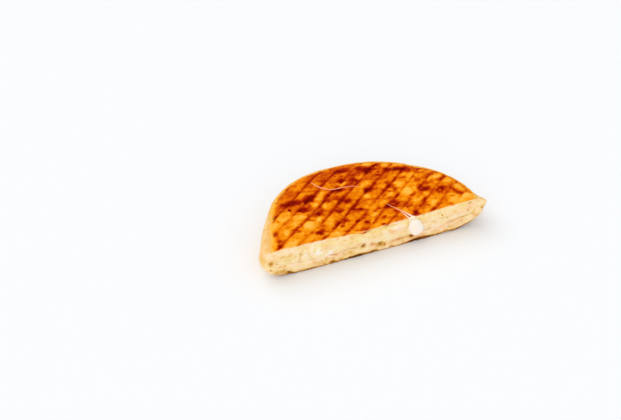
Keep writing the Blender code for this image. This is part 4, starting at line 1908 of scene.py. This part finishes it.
@dataclass
class CheeseStrings:
    """The thin strings of cheese that were drawn out over the crust.

    Attributes:
        finish: the material.
        strands: the strings.
        nearest: least Y at which the crust's height is taken, in millimetres.
        roundness: steps of a quarter of a string's section.
        smoothness: steps between two points of a string.
        drawn: where the strings run from the filling's tone to their own, by Y.
        blush: how rosy the strings are, from 0 to 1.
    """

    finish: CheeseFinish = CheeseFinish(
        name="cheese_string",
        golden=Ramp(((0.0, 255, 222, 190), (0.5, 255, 204, 160), (1.0, 255, 172, 120))),
        rosy=Ramp(((0.0, 255, 218, 194), (0.5, 255, 196, 164), (1.0, 255, 164, 126))),
        glow=0.35,
        gloss=0.1,
    )
    strands: tuple[Strand, ...] = (
        Strand(
            ((27.2, -0.8), (26.2, 1.4), (23.6, 5.6), (19.8, 12.4), (17.4, 16.6), (16.0, 21.0)),
            (1.40, 0.90, 0.44, 0.36, 0.30, 0.12),
            (-1.2, 0.1, 0.3, 0.3, 0.25, 0.1),
        ),
        Strand(
            ((24.0, -0.9), (23.4, 1.0), (22.2, 4.0), (20.6, 8.8)),
            (1.00, 0.62, 0.38, 0.14),
            (-1.0, 0.1, 0.2, 0.1),
        ),
        Strand(
            ((-24.8, 63.0), (-23.8, 57.8), (-19.8, 52.6), (-14.6, 49.4), (-6.8, 49), (0.8, 48.6), (5.6, 46.6)),
            (0.30, 0.44, 0.44, 0.38, 0.28, 0.24, 0.12),
            (0.1, 0.3, 0.4, 0.3, 0.3, 0.2, 0.05),
        ),
    )
    nearest: float = 0.4
    roundness: int = 3
    smoothness: int = 10
    drawn: Fade = Fade(0.001, 0.014)
    blush: float = 0.5

    def build(self, crust: bpy.types.Object) -> bpy.types.Object:
        """Lay the strings on the crust.

        Args:
            crust: the finished bread in the loaf's own axes.

        Returns:
            All strings as one mesh.
        """
        obj = bpy.data.objects.new("cheese_strings", self._curve(crust))
        bpy.context.scene.collection.objects.link(obj)
        mesh = bpy.data.meshes.new_from_object(obj.evaluated_get(bpy.context.evaluated_depsgraph_get()))
        bpy.data.objects.remove(obj, do_unlink=True)
        bm = bmesh.new()
        bm.from_mesh(mesh)
        bmesh.ops.remove_doubles(bm, verts=bm.verts, dist=WELD)
        bmesh.ops.recalc_face_normals(bm, faces=bm.faces)
        strings = as_object(bm, "cheese_strings")
        points = read_points(strings.data)
        write_mask(strings.data, Mask.TONE, self.drawn.at(points[:, 1]))
        write_mask(strings.data, Mask.BLUSH, np.full(len(points), self.blush))
        strings.data.shade_smooth()
        return strings

    def _curve(self, crust: bpy.types.Object) -> bpy.types.Curve:
        """Draw the strings' middle lines over the crust.

        Args:
            crust: the finished bread in the loaf's own axes.

        Returns:
            Round curves of the strings' thickness.
        """
        tree = BVHTree.FromObject(crust, bpy.context.evaluated_depsgraph_get())
        curve = bpy.data.curves.new("cheese_strings", "CURVE")
        curve.dimensions = "3D"
        curve.bevel_depth = MM
        curve.bevel_resolution = self.roundness
        curve.resolution_u = self.smoothness
        curve.use_fill_caps = True
        for strand in self.strands:
            spline = curve.splines.new("NURBS")
            spline.points.add(len(strand.route) - 1)
            spline.use_endpoint_u = True
            spline.order_u = 4
            stations = zip(spline.points, strand.route, strand.thickness, strand.lift)
            for point, (x, y), radius, lift in stations:
                start = Vector((x * MM, max(y, self.nearest) * MM, ABOVE))
                hit = tree.ray_cast(start, Vector((0, 0, -1)))[0]
                point.co = (x * MM, y * MM, hit.z + lift * MM, 1.0)
                point.radius = radius
        return curve

    def dress(self, obj: bpy.types.Object) -> None:
        """Give the strings their material and tie them to the frame.

        Args:
            obj: the strings.
        """
        obj.data.materials.clear()
        obj.data.materials.append(self.finish.build())
        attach(obj, "root")


# ---- Studio ----


@dataclass(frozen=True)
class Lamp:
    """A soft distant lamp.

    Attributes:
        name: its name.
        strength: its strength.
        spread: its angular size, in degrees.
        aim: the direction in which it shines.
    """

    name: str
    strength: float
    spread: float
    aim: Row

    def add(self) -> None:
        """Put the lamp into the scene."""
        light = bpy.data.lights.new(self.name, "SUN")
        light.energy = self.strength
        light.angle = math.radians(self.spread)
        lamp = bpy.data.objects.new(self.name, light)
        lamp.rotation_mode = "QUATERNION"
        lamp.rotation_quaternion = Vector(self.aim).to_track_quat("-Z", "Y")
        bpy.context.scene.collection.objects.link(lamp)


@dataclass
class Studio:
    """The pale table, the soft light and the camera.

    Attributes:
        azimuth: direction of view, in degrees from +Y towards +X.
        elevation: camera height above the horizon, in degrees.
        distance: camera to the point it looks at.
        aim: the point it looks at, from the middle of the cut on the table.
        lens: focal length in millimetres.
        sensor: width of the sensor in millimetres.
        near: nearest distance that the camera sees.
        far: farthest distance that it sees.
        table_half: half width of the table.
        table_gap: how far the table lies under the bread, so that the two never share a plane.
        table_colour: scene-linear colour of the table.
        sky: strength of the light from all round.
        lamps: a key from above and behind, and a fill from the front.
    """

    azimuth: float = 22.242
    elevation: float = 38.0
    distance: float = 0.76466
    aim: Pair = (-0.02616, 0.06126)
    lens: float = 60.0
    sensor: float = 36.0
    near: float = 0.01
    far: float = 50.0
    table_half: float = 6.0
    table_gap: float = 0.0001
    table_colour: tuple[float, float, float, float] = (0.86, 0.875, 0.895, 1.0)
    sky: float = 0.64
    lamps: tuple[Lamp, ...] = (
        Lamp("Soft key", 1.23, 60.0, (0.35, -0.50, -1.0)),
        Lamp("Soft fill", 0.86, 70.0, (0.35, 0.85, -0.55)),
    )

    def add_camera(self, origin: Vector) -> None:
        """Place the camera.

        Args:
            origin: where the loaf's own origin lies in the frame.
        """
        azimuth = math.radians(self.azimuth)
        elevation = math.radians(self.elevation)
        level = math.cos(elevation)
        back = Vector((-math.sin(azimuth) * level, -math.cos(azimuth) * level, math.sin(elevation)))
        camera = bpy.data.objects.new("Camera", bpy.data.cameras.new("Camera"))
        camera.data.lens = self.lens
        camera.data.sensor_width = self.sensor
        camera.data.clip_start = self.near
        camera.data.clip_end = self.far
        aim = Vector((origin.x + self.aim[0], origin.y + self.aim[1], 0.0))
        camera.location = aim + back * self.distance
        camera.rotation_mode = "QUATERNION"
        camera.rotation_quaternion = (-back).to_track_quat("-Z", "Y")
        bpy.context.scene.collection.objects.link(camera)
        bpy.context.scene.camera = camera

    def add_floor(self) -> None:
        """Lay the pale table under the bread."""
        bm = bmesh.new()
        bmesh.ops.create_grid(bm, x_segments=1, y_segments=1, size=self.table_half)
        bmesh.ops.translate(bm, verts=bm.verts, vec=(0.0, 0.0, -self.table_gap))
        floor = as_object(bm, "table_top")
        graph = MaterialGraph("pale_table")
        graph.shader.inputs["Base Color"].default_value = self.table_colour
        graph.shader.inputs["Roughness"].default_value = 0.9
        graph.shader.inputs["Specular IOR Level"].default_value = 0.1
        floor.data.materials.append(graph.material)

    def add_light(self) -> None:
        """Light the table evenly, with a soft key from the upper left."""
        world = bpy.data.worlds.new("Soft room")
        world.use_nodes = True
        background = world.node_tree.nodes["Background"]
        background.inputs["Color"].default_value = (1.0, 1.0, 1.0, 1.0)
        background.inputs["Strength"].default_value = self.sky
        bpy.context.scene.world = world
        for lamp in self.lamps:
            lamp.add()

    def set_display(self) -> None:
        """Show colours as they are."""
        bpy.context.scene.view_settings.view_transform = "Standard"
        bpy.context.scene.view_settings.look = "None"


def main() -> None:
    """Build the pieces in order, dress them and set the stage."""
    logging.basicConfig(level=logging.INFO, format="%(name)s: %(message)s")
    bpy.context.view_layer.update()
    loaf = Loaf()
    cut = CutFace()
    bread = Bread(loaf, cut, Grilling())
    filling = Filling(loaf, cut)
    strings = CheeseStrings()
    origin = bread.origin()
    LOG.info("loaf origin in the frame: %s", tuple(round(value, 5) for value in origin))

    bread_piece = bread.build()
    filling_piece = filling.build()
    strings_piece = strings.build(bread_piece)
    for maker, piece in ((bread, bread_piece), (filling, filling_piece), (strings, strings_piece)):
        settle_in_frame(piece, origin)
        maker.dress(piece)
        LOG.info("%s: %d points, %d faces", piece.name, len(piece.data.vertices), len(piece.data.polygons))

    studio = Studio()
    studio.add_camera(origin)
    studio.add_floor()
    studio.add_light()
    studio.set_display()


if __name__ == "__main__":
    main()
